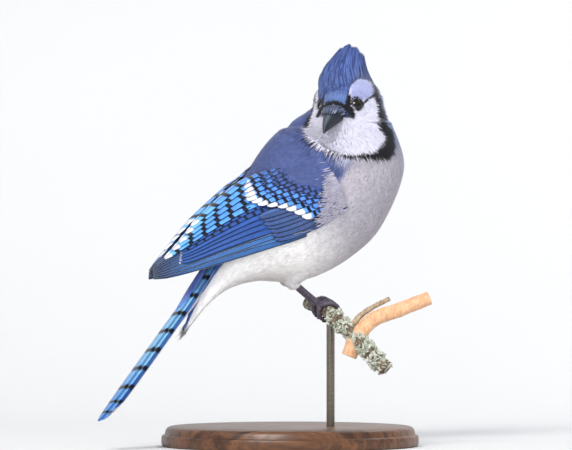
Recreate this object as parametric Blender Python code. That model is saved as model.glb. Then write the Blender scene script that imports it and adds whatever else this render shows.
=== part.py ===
"""A life-size blue jay on a short cut length of branch, held up by a plain display stand.

The bird faces +X and a little away (+Y), with its head turned back over its right shoulder.
Sizes are in millimetres and become metres where a mesh is made. +Z is up, and the origin is
the centre of the round base's underside.
"""

import math
import random

import bmesh
import bpy
from mathutils import Matrix, Quaternion, Vector

MM = 0.001
GAP = 0.3

# The bird's heading, and its own forward, right and up directions.
BODY_YAW = math.radians(25)
FORWARD = Vector((math.cos(BODY_YAW), math.sin(BODY_YAW), 0))
RIGHT = Vector((math.sin(BODY_YAW), -math.cos(BODY_YAW), 0))
UP = Vector((0, 0, 1))

# The head looks back past the right shoulder, turned HEAD_YAW off -Y and bowed HEAD_PITCH.
HEAD_YAW = math.radians(22)
HEAD_PITCH = math.radians(20)
FACE = Vector((
    -math.sin(HEAD_YAW) * math.cos(HEAD_PITCH),
    -math.cos(HEAD_YAW) * math.cos(HEAD_PITCH),
    -math.sin(HEAD_PITCH),
))
HEAD_LEFT = Vector((math.cos(HEAD_YAW), -math.sin(HEAD_YAW), 0))
HEAD_UP = FACE.cross(HEAD_LEFT)
BETWEEN_EYES = Vector((29.65, 0.3, 206.4))

# The body from the tip of the undertail coverts to the crown. Each row holds the middle of a
# section as (along FORWARD, height), then its reach to the belly, to the back and to each side.
TRUNK = (
    (-66.5, 76.0, 1.5, 2.0, 2.5),
    (-58.5, 88.5, 3.5, 5.0, 8.0),
    (-48.5, 101.0, 8.0, 9.0, 13.5),
    (-36.0, 114.0, 18.5, 17.0, 20.0),
    (-24.0, 124.0, 30.0, 30.0, 28.0),
    (-8.0, 134.5, 39.0, 35.5, 33.5),
    (11.0, 147.5, 43.0, 43.0, 35.5),
    (27.5, 161.5, 42.5, 44.0, 34.5),
    (38.5, 175.5, 36.5, 42.5, 30.0),
)
# The same for the neck and head, as (X, Y, Z), the reach to the face, nape and cheeks, and the
# bulge of the face's curve: 2 is an ellipse and less is a wedge.
HEAD_STACK = (
    (31.4, 14.5, 194.8, 23.5, 28.0, 31.6, 2.0),
    (34.8, 12.5, 200.0, 23.5, 26.0, 25.4, 1.6),
    (34.9, 12.5, 205.5, 24.8, 25.5, 21.5, 1.4),
    (35.2, 14.0, 213.0, 20.5, 21.5, 19.6, 1.6),
    (36.0, 16.5, 220.0, 12.5, 14.5, 14.0, 1.9),
    (36.5, 18.5, 225.5, 4.0, 5.0, 5.0, 2.0),
)
BODY_SIDES = 20
RINGS_BETWEEN = 2
# The egg-shaped bowl in which the head sits on the neck, and the neck's depth.
HEAD_BOWL = Vector((34.5, 10, 204))
HEAD_BOWL_SIZE = (26.8, 40, 31)
NECK_DEPTH = 6.0

EYE_RADIUS = 4.6
EYE_OUT = 9.9
EYE_ASIDE = 0.6
EYE_AHEAD = 41.0
EYE_RAISED = 0.12
LID_RADIUS = 4.1
LID_WIDE = 1.05
LID_THICK = 0.6

BILL_LENGTH = 26.5
BILL_SUNK = 4.5
BILL_BASE = BETWEEN_EYES + FACE * 8.3 - HEAD_UP * 3.2
BILL_DIP = math.radians(7)
# Along the bill: half width, height over the mouth line, depth below it, and droop of that line.
BILL_SECTIONS = (
    (0.00, 4.2, 4.6, 3.6, 0.0),
    (0.20, 5.7, 5.3, 4.1, 0.0),
    (0.40, 4.7, 4.8, 3.5, 0.1),
    (0.60, 3.6, 4.0, 2.7, 0.3),
    (0.80, 2.3, 2.9, 1.7, 0.7),
    (0.93, 1.1, 1.6, 0.9, 1.2),
    (1.00, 0.4, 0.5, 0.5, 1.9),
)
LOWER_BILL_END = (0.965, 1.6)
NOSTRIL = (1.5, 0.65)

CREST_FOOT = Vector((34.4, 13.5, 209.0))
CREST_TIP = Vector((38.2, 29.0, 244.6))
CREST_CONVERGE = 0.6
# Rings of crest feathers: how many, their distance from the crest's axis, where they root and
# end along it, and their half width.
CREST_RINGS = (
    (10, 17.0, 0.08, 0.60, 5.0),
    (7, 12.0, 0.24, 0.79, 4.6),
    (5, 7.0, 0.36, 0.94, 3.4),
    (3, 2.0, 0.46, 1.00, 2.6),
)

# The wing's inner edge along the back and its lower edge, as (forward, right, height), with the
# bulge of the surface between them.
WING_INNER = (
    (-3.7, 8, 180), (-31.5, 2.2, 163.5), (-58, 1.0, 141), (-78, 0.6, 121.8), (-96.8, 0.8, 104.6),
)
WING_EDGE = (
    (14, 36.5, 140), (-10.2, 38.5, 129), (-41.9, 34.5, 120.6), (-70, 21.5, 111.5), (-97.2, 2.4, 102),
)
WING_BULGE = (12.5, 10.0, 7.0, 4.0, 0.5)
# The mantle covers the wing's upper part at the shoulder.
MANTLE_COVER = 0.60
MANTLE_SLOPE = 2.3
WING_CORE = (0.0, 0.46, 0.0, 0.97)
WING_CORE_THICK = 2.6
WING_CORE_DEPTH = 1.9
WING_ROOM = (-0.009, 1.0, -0.016, 1.05)
ROOT_DEPTH = 2.6
DEEPEST_ROOT = 3.9
# The wing's tiers from the tip inwards, in places along the wing and across it from the back:
# how many, first root and its step, first tip and its step, half width, lift over the surface
# and its step, tilt and how many pieces long.
WING_ROWS = (
    (7, (0.22, 0.97), (0.012, -0.085), (0.955, 0.96), (-0.006, -0.15), 3.8, -3.0, 0.30, 9, 4),
    (5, (0.28, 0.80), (0.010, -0.10), (0.80, 0.68), (-0.014, -0.105), 4.3, -1.5, 0.12, 12, 3),
    (4, (0.32, 0.42), (-0.02, -0.11), (0.83, 0.14), (-0.06, -0.03), 5.6, -0.9, 0.62, 5, 3),
    (3, (0.02, 0.94), (0.025, -0.07), (0.38, 0.96), (0.008, -0.10), 3.4, -1.6, 0.15, 12, 2),
    (6, (0.19, 0.76), (0.014, -0.125), (0.40, 0.72), (0.0, -0.125), 4.1, -0.2, 0.0, 14, 2),
    (2, (0.005, 0.90), (0.0, -0.12), (0.20, 0.90), (0.0, -0.12), 3.9, 0.4, 0.0, 12, 2),
    (6, (0.005, 0.66), (0.044, -0.10), (0.27, 0.70), (0.017, -0.115), 4.1, 0.9, 0.0, 13, 2),
    (2, (0.01, 0.99), (0.01, -0.04), (0.20, 0.995), (0.07, -0.01), 2.4, -1.2, -0.2, 12, 2),
)

TAIL_ROOT = Vector((-40.4, -18.6, 120.5))
TAIL_PITCH = math.radians(50.5)
TAIL_YAW = math.radians(30)
TAIL_ROLL = math.radians(7)
TAIL_LENGTH = 133.0
TAIL_SHORTENING = (0.0, 1.0, 2.5, 4.5, 7.5, 12.0)
TAIL_SPREAD_ROOT = 0.5
TAIL_SPREAD_TIP = 1.65
TAIL_LAYER = 0.92
TAIL_HALF = 6.3
TAIL_PIECES = 5
# The core round the feathers' roots: place along the tail, half width, and reach up and down.
TAIL_CORE = ((0, 5.0, 1.4, 4.6), (6, 6.4, 1.9, 6.0), (20, 7.4, 1.4, 6.2), (32, 6.0, 0.3, 5.0))
# Upper tail coverts: where each ends along the tail and how far off the middle it lies.
TAIL_COVERTS = ((40, -4.5), (42, 4.5), (46, -1.8), (49, 2.0))
VANE_THICK = 0.6

PERCH_RADIUS = 4.2
PERCH = (
    (12, 44, 86), (20, 17, 83.3), (23.3, 0, 81.5), (29, -12, 76), (39.4, -24, 66.5),
    (48, -31, 57), (57.5, -37, 48),
)
BRANCH = ((35.5, -24.5, 55), (40, -24, 66), (50, -22, 77), (66, -20, 83), (84, -18, 90))
TWIG = ((35, -20, 70), (42, -19, 79), (50, -17, 84.5), (60, -14, 89.5))
FOOT_SPACING = 17.0
TOE_RADIUS = 1.35
TOE_LENGTHS = (9.5, 12.0, 11.0)
TOE_SPREAD = (-3.6, 0.0, 3.6)
HALLUX_LENGTH = 8.0
CLAW_LENGTH = 5.5
BACK_CLAW_LENGTH = 6.5
TARSUS_RADIUS = 2.0
ANKLE_RADIUS = 3.0
TOE_JOINTS = 5
TOE_GRIP = PERCH_RADIUS + GAP + TOE_RADIUS
# Where a front toe and the back one start round the perch.
TOE_START = {1: math.radians(135), -1: math.radians(160)}

BASE_RADIUS = 78.0
BASE_HEIGHT = 12.0
ROD_RADIUS = 2.5
ROD_SUNK = 6.0

rng = random.Random(7)


def clear_scene():
    for obj in list(bpy.data.objects):
        bpy.data.objects.remove(obj)


def body_point(forward, right, height):
    """A point of the bird's own frame in the world frame."""
    return FORWARD * forward + RIGHT * right + UP * height


def make_material(name, colour, roughness, metallic=0.0):
    material = bpy.data.materials.new(name)
    material.use_nodes = True
    shader = material.node_tree.nodes["Principled BSDF"]
    shader.inputs["Base Color"].default_value = (*colour, 1.0)
    shader.inputs["Roughness"].default_value = roughness
    shader.inputs["Metallic"].default_value = metallic
    return material


def mesh_object(name, points, faces, material=None):
    """A mesh from points in millimetres."""
    mesh = bpy.data.meshes.new(name)
    mesh.from_pydata([Vector(p) * MM for p in points], [], faces)
    mesh.validate()
    obj = bpy.data.objects.new(name, mesh)
    parts.objects.link(obj)
    if material:
        mesh.materials.append(material)
    return obj


def curve_points(knots, count):
    """Points of a smooth curve through the knots, Catmull-Rom style, each knot a list of numbers."""
    last = len(knots) - 1
    return [spline_at(knots, i / (count - 1) * last) for i in range(count)]


def spline_at(knots, place):
    """The smooth curve through the knots at a place counted in knots, straight past the ends."""
    last = len(knots) - 1
    span = min(max(int(math.floor(place)), 0), last - 1)
    t = place - span
    p1, p2 = knots[span], knots[span + 1]
    p0 = knots[span - 1] if span else [2 * a - b for a, b in zip(p1, p2)]
    p3 = knots[span + 2] if span + 2 <= last else [2 * b - a for a, b in zip(p1, p2)]
    if t < 0 or t > 1:
        return [a + (b - a) * t for a, b in zip(p1, p2)]
    return [
        0.5 * (2 * b + (c - a) * t + (2 * a - 5 * b + 4 * c - d) * t**2 + (3 * b - a - 3 * c + d) * t**3)
        for a, b, c, d in zip(p0, p1, p2, p3)
    ]


def loft(name, rings, material=None):
    """A closed skin over rings of points, with a fan at each end."""
    sides = len(rings[0])
    points = [p for ring in rings for p in ring]
    first, last = len(points), len(points) + 1
    points += [sum(rings[0], Vector()) / sides, sum(rings[-1], Vector()) / sides]
    faces = []
    for i in range(len(rings) - 1):
        for j in range(sides):
            a, b = i * sides + j, i * sides + (j + 1) % sides
            faces.append((a, b, b + sides, a + sides))
    top = (len(rings) - 1) * sides
    for j in range(sides):
        faces.append((first, (j + 1) % sides, j))
        faces.append((last, top + j, top + (j + 1) % sides))
    obj = mesh_object(name, points, faces, material)
    face_out(obj)
    return obj


def face_out(obj):
    """Turns every face outward."""
    edit = bmesh.new()
    edit.from_mesh(obj.data)
    bmesh.ops.recalc_face_normals(edit, faces=edit.faces)
    if edit.calc_volume(signed=True) < 0:
        bmesh.ops.reverse_faces(edit, faces=edit.faces)
    edit.to_mesh(obj.data)
    edit.free()


def reach(angle, front, back, side, bulge):
    """How far an egg-shaped section reaches at this angle from its front."""
    deep = front if math.cos(angle) > 0 else back
    power = bulge if math.cos(angle) > 0 else 2.0
    spread = abs(math.cos(angle) / deep) ** power + abs(math.sin(angle) / side) ** power
    return spread ** (-1 / power)


def body_rings(sides, between, shrink=0.0):
    """The rings of the whole body, from the undertail coverts to the crown."""
    middles, looks, sizes = [], [], []
    for forward, height, belly, back, side in TRUNK:
        middles.append(body_point(forward, 0, height))
        looks.append(None)
        sizes.append((belly, back, side, 2.0))
    for x, y, z, face, nape, cheek, bulge in HEAD_STACK:
        middles.append(Vector((x, y, z)))
        looks.append(FACE)
        sizes.append((face, nape, cheek, bulge))
    rings = []
    for i, middle in enumerate(middles):
        axis = (middles[min(i + 1, len(middles) - 1)] - middles[max(i - 1, 0)]).normalized()
        if looks[i]:
            axis = (axis + UP * 2 - FACE * 0.15).normalized()
        ahead = axis.cross(RIGHT).normalized()
        beside = ahead.cross(axis)
        turn = 0.0 if looks[i] is None else math.atan2(FACE.dot(beside), FACE.dot(ahead))
        ring = []
        for j in range(sides):
            angle = 2 * math.pi * j / sides
            out = ahead * math.cos(angle) + beside * math.sin(angle)
            ring.append(middle + out * (reach(angle - turn, *sizes[i]) - shrink))
        rings.append(ring)
    count = (len(rings) - 1) * between + 1
    columns = [curve_points([ring[j] for ring in rings], count) for j in range(sides)]
    return [[Vector(columns[j][i]) for j in range(sides)] for i in range(count)]


def copy_of(obj, name):
    made = bpy.data.objects.new(name, obj.data.copy())
    parts.objects.link(made)
    return made


def swell(obj, by):
    """Moves every vertex out along its normal."""
    edit = bmesh.new()
    edit.from_mesh(obj.data)
    edit.normal_update()
    for vertex in edit.verts:
        vertex.co += vertex.normal * by * MM
    edit.to_mesh(obj.data)
    edit.free()


def boolean(obj, others, operation):
    """Joins the others to obj or cuts them from it, and removes them."""
    group = bpy.data.collections.new("pieces")
    for other in others:
        group.objects.link(other)
    modifier = obj.modifiers.new("join", "BOOLEAN")
    modifier.operation = operation
    modifier.operand_type = "COLLECTION"
    modifier.collection = group
    modifier.solver = "MANIFOLD"
    graph = bpy.context.evaluated_depsgraph_get()
    mesh = bpy.data.meshes.new_from_object(obj.evaluated_get(graph))
    obj.modifiers.clear()
    obj.data = mesh
    for other in others:
        bpy.data.objects.remove(other)
    bpy.data.collections.remove(group)
    keep_largest(obj)


def keep_largest(obj):
    """Leaves only the largest closed surface of a mesh."""
    edit = bmesh.new()
    edit.from_mesh(obj.data)
    bmesh.ops.triangulate(edit, faces=edit.faces)
    seen, bodies = set(), []
    for start in edit.verts:
        if start in seen:
            continue
        stack, body = [start], []
        seen.add(start)
        while stack:
            vertex = stack.pop()
            body.append(vertex)
            for edge in vertex.link_edges:
                other = edge.other_vert(vertex)
                if other not in seen:
                    seen.add(other)
                    stack.append(other)
        bodies.append(body)
    bodies.sort(key=spread, reverse=True)
    bmesh.ops.delete(edit, geom=[v for body in bodies[1:] for v in body], context="VERTS")
    edit.to_mesh(obj.data)
    edit.free()


def spread(body):
    """The diagonal of the box round some vertices."""
    low = Vector([min(v.co[i] for v in body) for i in range(3)])
    high = Vector([max(v.co[i] for v in body) for i in range(3)])
    return (high - low).length


def finish(obj, name, material):
    """Names a piece, gives it its one material and shades it smooth but for its sharp edges."""
    obj.name = name
    obj.data.name = name
    obj.data.materials.clear()
    obj.data.materials.append(material)
    for polygon in obj.data.polygons:
        polygon.material_index = 0
    obj.data.shade_smooth()
    obj.data.set_sharp_from_angle(angle=math.radians(35))
    return obj


def tube(points, radii, sides=8):
    """A tapered round tube through the points, as a closed mesh."""
    curve = bpy.data.curves.new("tube", "CURVE")
    curve.dimensions = "3D"
    curve.bevel_depth = MM
    curve.bevel_resolution = max(0, sides // 4 - 1)
    curve.use_fill_caps = True
    spline = curve.splines.new("POLY")
    spline.points.add(len(points) - 1)
    for spot, point, radius in zip(spline.points, points, radii):
        spot.co = (*(Vector(point) * MM), 1)
        spot.radius = radius
    obj = bpy.data.objects.new("tube", curve)
    parts.objects.link(obj)
    graph = bpy.context.evaluated_depsgraph_get()
    mesh = bpy.data.meshes.new_from_object(obj.evaluated_get(graph))
    made = bpy.data.objects.new("tube", mesh)
    made.matrix_world = obj.matrix_world
    parts.objects.link(made)
    bpy.data.objects.remove(obj)
    edit = bmesh.new()
    edit.from_mesh(mesh)
    bmesh.ops.remove_doubles(edit, verts=edit.verts, dist=0.01 * MM)
    bmesh.ops.triangulate(edit, faces=edit.faces)
    bmesh.ops.recalc_face_normals(edit, faces=edit.faces)
    edit.to_mesh(mesh)
    edit.free()
    return made


def ball(centre, radius, segments=14, rings=8, axis=None):
    """A ball, its poles along the axis."""
    edit = bmesh.new()
    bmesh.ops.create_uvsphere(edit, u_segments=segments, v_segments=rings, radius=radius * MM)
    mesh = bpy.data.meshes.new("ball")
    edit.to_mesh(mesh)
    edit.free()
    obj = bpy.data.objects.new("ball", mesh)
    turn = (axis or UP).to_track_quat("Z", "Y").to_matrix().to_4x4()
    obj.data.transform(Matrix.Translation(Vector(centre) * MM) @ turn)
    parts.objects.link(obj)
    return obj


def vane(line, normals, width, thick=VANE_THICK, tip=0.35, root=0.5, tilt=0.0, low=None, high=None):
    """One feather as a thin closed blade along a line of points.

    Its half width grows from root * width to width and rounds off to tip * width. Both faces are
    split into triangles alike. tilt turns it about its own length, as feathers lie like shingles.
    low and high hold how far its two edges may reach at most, point by point.
    """
    count = len(line)
    points, faces = [], []
    for i, (spot, normal) in enumerate(zip(line, normals)):
        along = (line[min(i + 1, count - 1)] - line[max(i - 1, 0)]).normalized()
        side = normal.cross(along).normalized()
        side = Quaternion(along, tilt) @ side
        up = along.cross(side).normalized()
        t = i / (count - 1)
        half = width * (root + (1 - root) * math.sin(min(t / 0.6, 1) * math.pi / 2))
        if t > 0.72:
            half *= tip + (1 - tip) * math.sqrt(max(0.0, 1 - ((t - 0.72) / 0.28) ** 2))
        left = min(half, low[i]) if low else half
        right = min(half, high[i]) if high else half
        deep = thick * (1.0 if i < count - 1 else 0.6) / 2
        points += [
            spot - side * left + up * deep, spot + side * right + up * deep,
            spot + side * right - up * deep, spot - side * left - up * deep,
        ]
    for i in range(count - 1):
        a, b = 4 * i, 4 * i + 4
        faces += [(a, a + 1, b + 1), (a, b + 1, b)]
        faces += [(a + 3, b + 2, a + 2), (a + 3, b + 3, b + 2)]
        faces += [(a + 1, a + 2, b + 2), (a + 1, b + 2, b + 1)]
        faces += [(a + 3, a, b), (a + 3, b, b + 3)]
    last = 4 * (count - 1)
    faces += [(0, 2, 1), (0, 3, 2), (last, last + 1, last + 2), (last, last + 2, last + 3)]
    obj = mesh_object("vane", points, faces)
    face_out(obj)
    return obj


def bowl(grow):
    """The egg that parts head from neck, grown by a distance."""
    egg = ball((0, 0, 0), 1, 24, 12)
    size = Matrix.Diagonal((*[(half + grow) for half in HEAD_BOWL_SIZE], 1))
    egg.data.transform(Matrix.Translation(HEAD_BOWL * MM) @ size)
    return egg


def make_body(materials):
    """Head form, neck and torso, parted by two round bowls."""
    whole = loft("whole", body_rings(BODY_SIDES, RINGS_BETWEEN))
    head, neck, torso = copy_of(whole, "head_form"), copy_of(whole, "neck"), copy_of(whole, "torso")
    bpy.data.objects.remove(whole)
    boolean(head, [bowl(0)], "INTERSECT")
    boolean(neck, [bowl(NECK_DEPTH)], "INTERSECT")
    boolean(neck, [bowl(GAP)], "DIFFERENCE")
    boolean(torso, [bowl(NECK_DEPTH + GAP)], "DIFFERENCE")
    finish(neck, "neck", materials["black_plumage"])
    return head, torso


def eye_place(side):
    """Centre of an eye and the way it looks; side is 1 on the bird's left and -1 on its right."""
    ahead = math.radians(EYE_AHEAD)
    centre = BETWEEN_EYES + HEAD_LEFT * (side * EYE_OUT + EYE_ASIDE)
    look = HEAD_LEFT * side * math.cos(ahead) + FACE * math.sin(ahead) + HEAD_UP * EYE_RAISED
    return centre, look.normalized()


def eyelid(side):
    """The bare rim round an eye."""
    centre, look = eye_place(side)
    rise = math.sqrt((EYE_RADIUS + GAP + LID_THICK) ** 2 - LID_RADIUS**2)
    edit = bmesh.new()
    turn = look.to_track_quat("Z", "Y").to_matrix().to_4x4()
    rings = []
    for i in range(16):
        angle = 2 * math.pi * i / 16
        out = Vector((math.cos(angle), math.sin(angle), 0))
        ring = []
        for j in range(5):
            bend = 2 * math.pi * j / 5
            spot = out * (LID_RADIUS + LID_WIDE * math.cos(bend)) + UP * (rise + LID_THICK * math.sin(bend))
            ring.append(edit.verts.new((turn @ spot + centre) * MM))
        rings.append(ring)
    for i in range(16):
        a, b = rings[i], rings[(i + 1) % 16]
        for j in range(5):
            k = (j + 1) % 5
            edit.faces.new((a[j], a[k], b[k], b[j]))
    mesh = bpy.data.meshes.new("lid")
    bmesh.ops.triangulate(edit, faces=edit.faces)
    edit.to_mesh(mesh)
    edit.free()
    obj = bpy.data.objects.new("lid", mesh)
    parts.objects.link(obj)
    face_out(obj)
    return obj


def bill_half(upper, grow=0.0):
    """The upper or the lower half of the bill, parted by the line of the mouth."""
    ahead = (Quaternion(HEAD_LEFT, BILL_DIP) @ FACE).normalized()
    rise = ahead.cross(HEAD_LEFT).normalized()
    rings = []
    for t, wide, high, low, droop in BILL_SECTIONS:
        if t == 1 and not upper:
            t, droop = LOWER_BILL_END
        middle = BILL_BASE + ahead * (t * BILL_LENGTH - BILL_SUNK) - rise * droop
        tall = (high if upper else -low)
        part = GAP / 2 * (1 if upper else -1)
        ring = []
        for j in range(9):
            angle = math.pi * j / 8
            side = math.cos(angle) * (wide + grow)
            up = (math.sin(angle) ** 0.8) * (tall - part) + part
            up += math.copysign(grow, tall) * math.sin(angle)
            if grow and j in (0, 8):
                up -= math.copysign(grow, tall)
            ring.append(middle + HEAD_LEFT * side + rise * up)
        rings.append(ring)
    if grow:
        rings[0] = [p - ahead * grow for p in rings[0]]
    return loft("bill_half", rings)


def make_bill(head, materials):
    """Both halves of the bill, and the pocket for them in the head."""
    upper, lower = bill_half(True), bill_half(False)
    pocket = bill_half(True, GAP)
    boolean(pocket, [bill_half(False, GAP)], "UNION")
    boolean(head, [pocket], "DIFFERENCE")
    ahead = (Quaternion(HEAD_LEFT, BILL_DIP) @ FACE).normalized()
    rise = ahead.cross(HEAD_LEFT).normalized()
    pits = []
    for side in (-1, 1):
        spot = BILL_BASE + ahead * (BILL_LENGTH * 0.46 - BILL_SUNK) + rise * 2.2 + HEAD_LEFT * side * 3.9
        pit = ball((0, 0, 0), 1, 10, 6)
        turn = ahead.to_track_quat("X", "Z").to_matrix().to_4x4()
        size = Matrix.Diagonal((NOSTRIL[0], 1.1, NOSTRIL[1], 1))
        pit.data.transform(Matrix.Translation(spot * MM) @ turn @ size)
        pits.append(pit)
    boolean(upper, pits, "DIFFERENCE")
    finish(upper, "upper_bill", materials["bill_horn"])
    finish(lower, "lower_bill", materials["bill_horn"])


def crest_feathers():
    """The crest, feather by feather: rings of blades that lean in towards its tip."""
    axis = CREST_TIP - CREST_FOOT
    blades = []
    for count, far, start, end, half in CREST_RINGS:
        for i in range(count):
            angle = 2 * math.pi * (i + 0.5 * (count % 2)) / count
            front = (FACE - axis * FACE.dot(axis) / axis.length_squared).normalized()
            across = axis.normalized().cross(front)
            out = front * math.cos(angle) + across * math.sin(angle)
            deep = 1.0 if math.cos(angle) > 0 else 0.8
            reach_end = end - rng.uniform(0.0, 0.05)
            line, normals = [], []
            for k in range(4):
                t = k / 3
                along = start + (reach_end - start) * t
                away = far * deep * (1 - CREST_CONVERGE * along) / (1 - CREST_CONVERGE * start)
                away -= 3.0 if k == 0 else 0
                line.append(CREST_FOOT + axis * along + out * (away + 1.2 * math.sin(math.pi * t)))
                normals.append(out)
            blades.append(vane(line, normals, half, tip=0.25, root=0.7, tilt=math.radians(13)))
    return blades


def make_head(head, materials):
    """The head with its crest, eyelids and eye sockets, and the eyes themselves."""
    boolean(head, crest_feathers(), "UNION")
    boolean(head, [eyelid(1), eyelid(-1)], "UNION")
    sockets = []
    for side, name in ((1, "eye_left"), (-1, "eye_right")):
        centre, look = eye_place(side)
        sockets.append(ball(centre, EYE_RADIUS + GAP, 14, 10, look))
        finish(ball(centre, EYE_RADIUS, 14, 10, look), name, materials["eye_gloss"])
    boolean(head, sockets, "DIFFERENCE")
    finish(head, "head", materials["blue_plumage"])


def wing_point(s, w, lift=0.0):
    """A point of the wing's outer surface: s from shoulder to tip, w from back to lower edge."""
    count = len(WING_BULGE) - 1
    rows = [(*a, *b, c) for a, b, c in zip(WING_INNER, WING_EDGE, WING_BULGE)]
    row = spline_at(rows, s * count)
    inner, edge, bulge = Vector(row[:3]), Vector(row[3:6]), row[6]
    step = spline_at(rows, s * count + 0.05)
    ahead = Vector(step[:3]).lerp(Vector(step[3:6]), w) - inner.lerp(edge, w)
    out = (edge - inner).cross(ahead).normalized()
    if out.y < 0:
        out = -out
    spot = inner.lerp(edge, w) + out * (bulge * 4 * w * (1 - w))
    spot += out * lift
    return body_point(*spot)


def wing_normal(s, w):
    """The way out of the wing's surface."""
    along = wing_point(s + 0.02, w) - wing_point(s - 0.02, w)
    across = wing_point(s, w + 0.04) - wing_point(s, w - 0.04)
    out = across.cross(along).normalized()
    return out if out.dot(RIGHT) > 0 else -out


def wing_sheet(name, s_from, s_to, w_from, w_to, outer, inner, rows=9, columns=6):
    """A closed shell between two depths of the wing's surface."""
    points, faces = [], []
    for depth in (outer, inner):
        for i in range(rows):
            for j in range(columns):
                s = s_from + (s_to - s_from) * i / (rows - 1)
                top = max(w_from, MANTLE_COVER - MANTLE_SLOPE * s + w_from)
                w = top + (w_to - top) * j / (columns - 1)
                points.append(wing_point(s, w) - wing_normal(s, w) * depth)
    half = rows * columns
    for i in range(rows - 1):
        for j in range(columns - 1):
            a = i * columns + j
            b, c, d = a + 1, a + columns + 1, a + columns
            faces += [(a, b, c), (a, c, d), (half + a, half + c, half + b), (half + a, half + d, half + c)]
    rim = [j for j in range(columns)]
    rim += [i * columns + columns - 1 for i in range(1, rows)]
    rim += [(rows - 1) * columns + j for j in range(columns - 2, -1, -1)]
    rim += [i * columns for i in range(rows - 2, 0, -1)]
    for a, b in zip(rim, rim[1:] + rim[:1]):
        faces += [(a, half + a, half + b), (a, half + b, b)]
    obj = mesh_object(name, points, faces)
    face_out(obj)
    return obj


def wing_feather(start, end, half, lift, pieces, **shape):
    """A blade over the wing's surface from one (s, w) place to another, rising out of its core."""
    line, normals = [], []
    for i in range(pieces + 1):
        t = i / pieces
        s = start[0] + (end[0] - start[0]) * t
        w = start[1] + (end[1] - start[1]) * t
        rise = max(lift - ROOT_DEPTH * (1 - min(t / 0.25, 1)) ** 2, -DEEPEST_ROOT)
        line.append(wing_point(s, w, rise))
        normals.append(wing_normal(s, w))
    return vane(line, normals, half, **shape)


def flight_row(row):
    """The blades of one tier of the wing, each a step on from the last and a little varied."""
    count, start, start_step, end, end_step, half, lift, lift_step, tilt, pieces = row
    blades = []
    for i in range(count):
        root = (start[0] + start_step[0] * i, start[1] + start_step[1] * i)
        tip = (end[0] + end_step[0] * i + rng.uniform(-0.004, 0.004), end[1] + end_step[1] * i)
        blades.append(wing_feather(
            root, tip, half, lift + lift_step * i, pieces, tilt=math.radians(tilt), root=0.45, tip=0.3
        ))
    return blades


def make_wing(materials):
    """The folded right wing: an arm under the coverts, and its feathers in overlapping tiers."""
    wing = wing_sheet("wing", *WING_CORE, WING_CORE_DEPTH, WING_CORE_DEPTH + WING_CORE_THICK, rows=7)
    blades = [blade for row in WING_ROWS for blade in flight_row(row)]
    boolean(wing, blades, "UNION")
    boolean(wing, [beyond_middle()], "DIFFERENCE")
    finish(wing, "wing_right", materials["blue_plumage"])
    return wing


def beyond_middle():
    """A block on the far side of the bird's middle, which the near wing keeps clear of."""
    low, high = -110, GAP / 2
    corners = [
        body_point(f, r, h) for f, h in ((-150, 80), (60, 80), (60, 220), (-150, 220)) for r in (low, high)
    ]
    faces = [(0, 2, 3, 1), (2, 4, 5, 3), (4, 6, 7, 5), (6, 0, 1, 7), (0, 6, 4, 2), (1, 3, 5, 7)]
    block = mesh_object("beyond", corners, faces)
    face_out(block)
    return block


def mirrored(obj, name):
    """A copy mirrored in the upright plane through the bird's length."""
    made = copy_of(obj, name)
    flip = Matrix.Scale(-1, 4, RIGHT)
    made.data.transform(flip)
    made.data.flip_normals()
    return made


def tail_frame():
    """The directions along the tail, over it and across it."""
    along = Vector((
        -math.cos(TAIL_PITCH) * math.cos(TAIL_YAW),
        -math.cos(TAIL_PITCH) * math.sin(TAIL_YAW),
        -math.sin(TAIL_PITCH),
    ))
    over = along.cross(RIGHT).normalized()
    if over.z < 0:
        over = -over
    over = Quaternion(along, TAIL_ROLL) @ over
    return along, over, over.cross(along).normalized()


def tail_feather(order, side_of):
    """A tail feather: order 0 is the central pair and side_of tells left from right."""
    along, over, side = tail_frame()
    length = TAIL_LENGTH - TAIL_SHORTENING[order]
    line, normals, inner = [], [], []
    for i in range(TAIL_PIECES + 1):
        t = i / TAIL_PIECES
        out = (TAIL_SPREAD_ROOT + (TAIL_SPREAD_TIP - TAIL_SPREAD_ROOT) * t) * (order + 0.35)
        sink = TAIL_LAYER * (order + (1 if order or side_of > 0 else 0))
        sink *= 0.6 + 0.4 * min(t / 0.3, 1)
        line.append(TAIL_ROOT + along * (6 + (length - 6) * t) + side * side_of * out - over * sink)
        normals.append(over)
        inner.append(out - 0.15 if order else 99)
    shape = {"low": inner} if side_of > 0 else {"high": inner}
    return vane(line, normals, TAIL_HALF * (0.9 if order == 5 else 1), root=0.55, tip=0.35, **shape)


def make_tail(materials):
    """Twelve tail feathers in tiers, their roots in a core under the tail coverts."""
    along, over, side = tail_frame()
    rings = []
    for t, half, high, low in TAIL_CORE:
        middle = TAIL_ROOT + along * t
        ring = []
        for k in range(12):
            angle = 2 * math.pi * k / 12
            deep = high if math.sin(angle) > 0 else low
            ring.append(middle + side * half * math.cos(angle) + over * deep * math.sin(angle))
        rings.append(ring)
    tail = loft("tail", rings)
    blades = [tail_feather(order, side_of) for order in range(6) for side_of in (-1, 1)]
    for reach_out, across in TAIL_COVERTS:
        line = [
            TAIL_ROOT + along * (4 + (reach_out - 4) * t) + side * across * (0.5 + 0.5 * t)
            + over * (2.0 * math.sin(min(1, t * 1.6) * math.pi / 2) - 0.8 * t - 0.05 * across * across)
            for t in (0, 0.35, 0.7, 1)
        ]
        blades.append(vane(line, [over] * 4, 3.4, root=0.6, tip=0.3))
    boolean(tail, blades, "UNION")
    finish(tail, "tail", materials["blue_plumage"])
    return tail


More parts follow.
